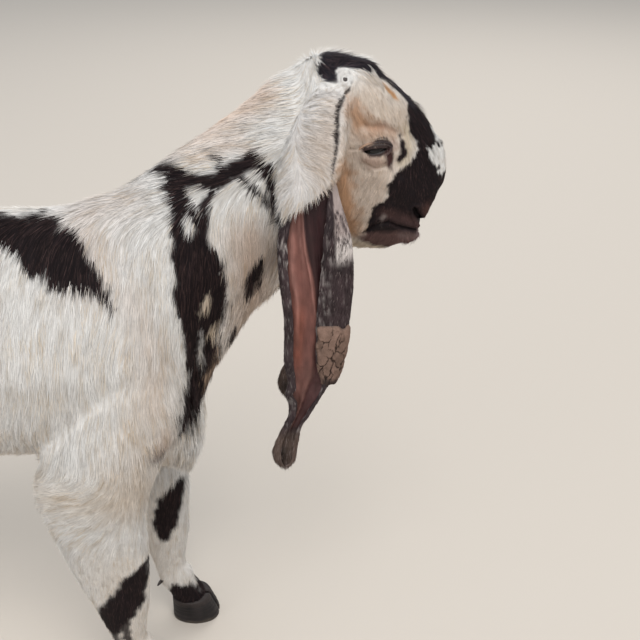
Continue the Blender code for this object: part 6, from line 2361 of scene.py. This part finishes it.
    def ear_fur(self, side: str, faces: list, count: int = 16000) -> bpy.types.Object:
        """Short hair on the back of an ear's sheet and on both faces of its tip.

        Args:
            side: left or right.
            faces: each face's points, normals and colours on a grid, and its room.
            count: how many tufts.

        Returns:
            The piece.
        """
        rng = np.random.default_rng([self.seed, len(side)])
        columns, weights = faces[0][0].shape[1], []
        for points, _, _, room in faces:
            cross = np.cross(points[1:, :-1] - points[:-1, :-1], points[:-1, 1:] - points[:-1, :-1])
            weights.append(np.linalg.norm(cross, axis=-1) * room[:-1, :-1])
            weights[-1] = weights[-1] * (1 + 1.2 * smoothstep(47, 45, points[:-1, :-1, 2]))
        weights = np.stack(weights)
        total = np.cumsum(weights.ravel())
        chosen = np.searchsorted(total, rng.random(count) * total[-1])
        face, row, column = np.unravel_index(chosen, weights.shape)
        share = rng.random((2, count))
        u, v = share[0][:, None], share[1][:, None]

        def blend(index: int) -> np.ndarray:
            """Values between the four corners of each chosen cell."""
            values = np.stack([each[index] for each in faces])
            near = mixed(values[face, row, column], values[face, row, column + 1], u)
            far = mixed(values[face, row + 1, column], values[face, row + 1, column + 1], u)
            return mixed(near, far, v)

        root, normal = blend(0), unit_rows(blend(1))
        lie = np.array([-0.15, 0.0, -1.0]) + 0 * root
        lie = unit_rows(lie - np.sum(lie * normal, axis=1, keepdims=True) * normal)
        tip = smoothstep(47, 45, root[:, 2])
        length = 0.46 + 0.30 * tip + 0.15 * smoothstep(66, 72, root[:, 2])
        length = length * rng.uniform(0.7, 1.3, count)
        place = np.stack([(column + share[0]) / columns / 2 + face / 2,
                          1 - (row + share[1]) / weights.shape[1]], axis=-1)
        tone = blend(2) * rng.normal(1.0, 0.22, (count, 1))
        pale = tone.mean(axis=1, keepdims=True) > 0.15
        odd = rng.random((count, 1)) < np.where(pale, 0.34, 0.05)
        tone = np.where(odd, np.where(pale, (0.05, 0.035, 0.036), (0.24, 0.19, 0.18)), tone)
        roots = Roots(root, normal, place, lie, length, np.clip(tone, 0.004, 0.9))
        return self.piece(f"ear_{side}_fur", roots, False, Finish.COAT)


@dataclass
class Studio:
    """A pale floor, soft light from above and behind the camera, and the camera."""

    place: Place
    distance: float = 101.24
    height: float = 110.12
    pitch: float = 27.5
    lens: float = 50.625
    floor_half: float = 14.0

    def floor(self) -> bpy.types.Object:
        """A plain pale floor."""
        half = self.floor_half
        corners = np.array([(-half, -half, 0), (half, -half, 0), (half, half, 0), (-half, half, 0)])
        mesh = mesh_from("floor", corners, np.array([[0, 1, 2, 3]]), smooth=False)
        shader = Shader("floor", Base_Color=(0.58, 0.525, 0.465, 1.0), Roughness=0.9)
        mesh.materials.append(shader.material)
        return add_object("floor", mesh)

    def light(self, name: str, at: tuple, size: float, watts: float, colour: tuple) -> None:
        """An area light that faces the middle of the animal.

        Args:
            name: the light's name.
            at: its place in metres.
            size: its side in metres.
            watts: its power.
            colour: its colour.
        """
        lamp = bpy.data.lights.new(name, "AREA")
        lamp.size = size
        lamp.energy = watts
        lamp.color = colour
        obj = add_object(name, lamp)
        obj.location = at
        aim = np.array([0.1, 0.0, 0.5]) - np.array(at)
        yaw = math.atan2(aim[1], aim[0])
        drop = math.atan2(math.hypot(aim[0], aim[1]), -aim[2])
        obj.rotation_euler = (drop, 0.0, yaw - math.pi / 2)

    def build(self) -> bpy.types.Object:
        """The whole studio.

        Returns:
            The floor.
        """
        scene = bpy.context.scene
        scene.world = bpy.data.worlds.new("studio")
        scene.world.use_nodes = True
        sky = scene.world.node_tree.nodes["Background"]
        sky.inputs["Color"].default_value = (0.90, 0.95, 1.0, 1.0)
        sky.inputs["Strength"].default_value = 0.66
        self.light("key", (1.4, -3.2, 5.4), 3.4, 225.0, (1.0, 0.975, 0.94))
        self.light("fill", (-3.4, -3.2, 2.4), 3.2, 42.0, (0.94, 0.97, 1.0))
        self.light("back", (1.4, 4.4, 4.6), 3.6, 130.0, (1.0, 0.98, 0.95))
        camera = bpy.data.cameras.new("camera")
        camera.lens = self.lens
        camera.sensor_width = 36.0
        obj = add_object("camera", camera)
        obj.location = self.place.metres(np.array([0.0, -self.distance, self.height]))
        obj.rotation_euler = (math.radians(90.0 - self.pitch), 0.0, 0.0)
        scene.camera = obj
        scene.view_settings.view_transform = "Standard"
        scene.view_settings.exposure = 0.0
        return self.floor()


def dress(piece: bpy.types.Object, finish: Finish, *nodes: str) -> None:
    """Let a piece ride on the body, and hide the parts of the frame that it stands for.

    Args:
        piece: the piece.
        finish: its finish.
        nodes: nodes that it replaces.
    """
    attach(piece, "root")
    finish.slot
    if nodes:
        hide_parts(*nodes)
    LOG.info("%s: %d faces", piece.name, len(piece.data.polygons))


def main() -> None:
    """Load the frame, build every piece round it and light it."""
    logging.basicConfig(level=logging.INFO, format="%(name)s %(message)s")
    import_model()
    toe = float(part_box("hoof_fore_right_outer")[1][0])
    place = Place(forward=toe - HOOF_TOE * UNIT)
    finishes, form, pelt, markings = Finishes(), Frame(), Pelt(), Markings()
    skin = Skin(place, finishes, form, pelt, markings)
    hide = skin.build()
    dress(hide, Finish.HIDE, *skin.nodes)
    coat = Coat(place, finishes, pelt, markings)
    for side in SIDES:
        ball, lids = Eye(place, finishes, side).build()
        dress(ball, Finish.EYE, f"eye_{side}")
        dress(lids, Finish.LID)
        ear = Ear(place, finishes, side)
        blade, furred = ear.build()
        dress(blade, Finish.EAR, f"ear_{side}")
        dress(coat.ear_fur(side, furred), Finish.COAT)
        if side == "right":
            dress(MudPatch(place, finishes, ear).build(), Finish.MUD)
        dress(HornBud(place, finishes, side).build(), Finish.BUD, f"horn_bud_{side}")
        for leg in ("fore", "hind"):
            for claw in ("inner", "outer"):
                hoof = Hoof(place, finishes, form, leg, side, claw).build()
                dress(hoof, Finish.HOOF, f"hoof_{leg}_{side}_{claw}")
            for point in Dewclaws(place, finishes, form, leg, side).build():
                dress(point, Finish.HOOF)
    for piece in coat.build(hide):
        dress(piece, Finish.COAT)
    Studio(place).build()


if __name__ == "__main__":
    main()
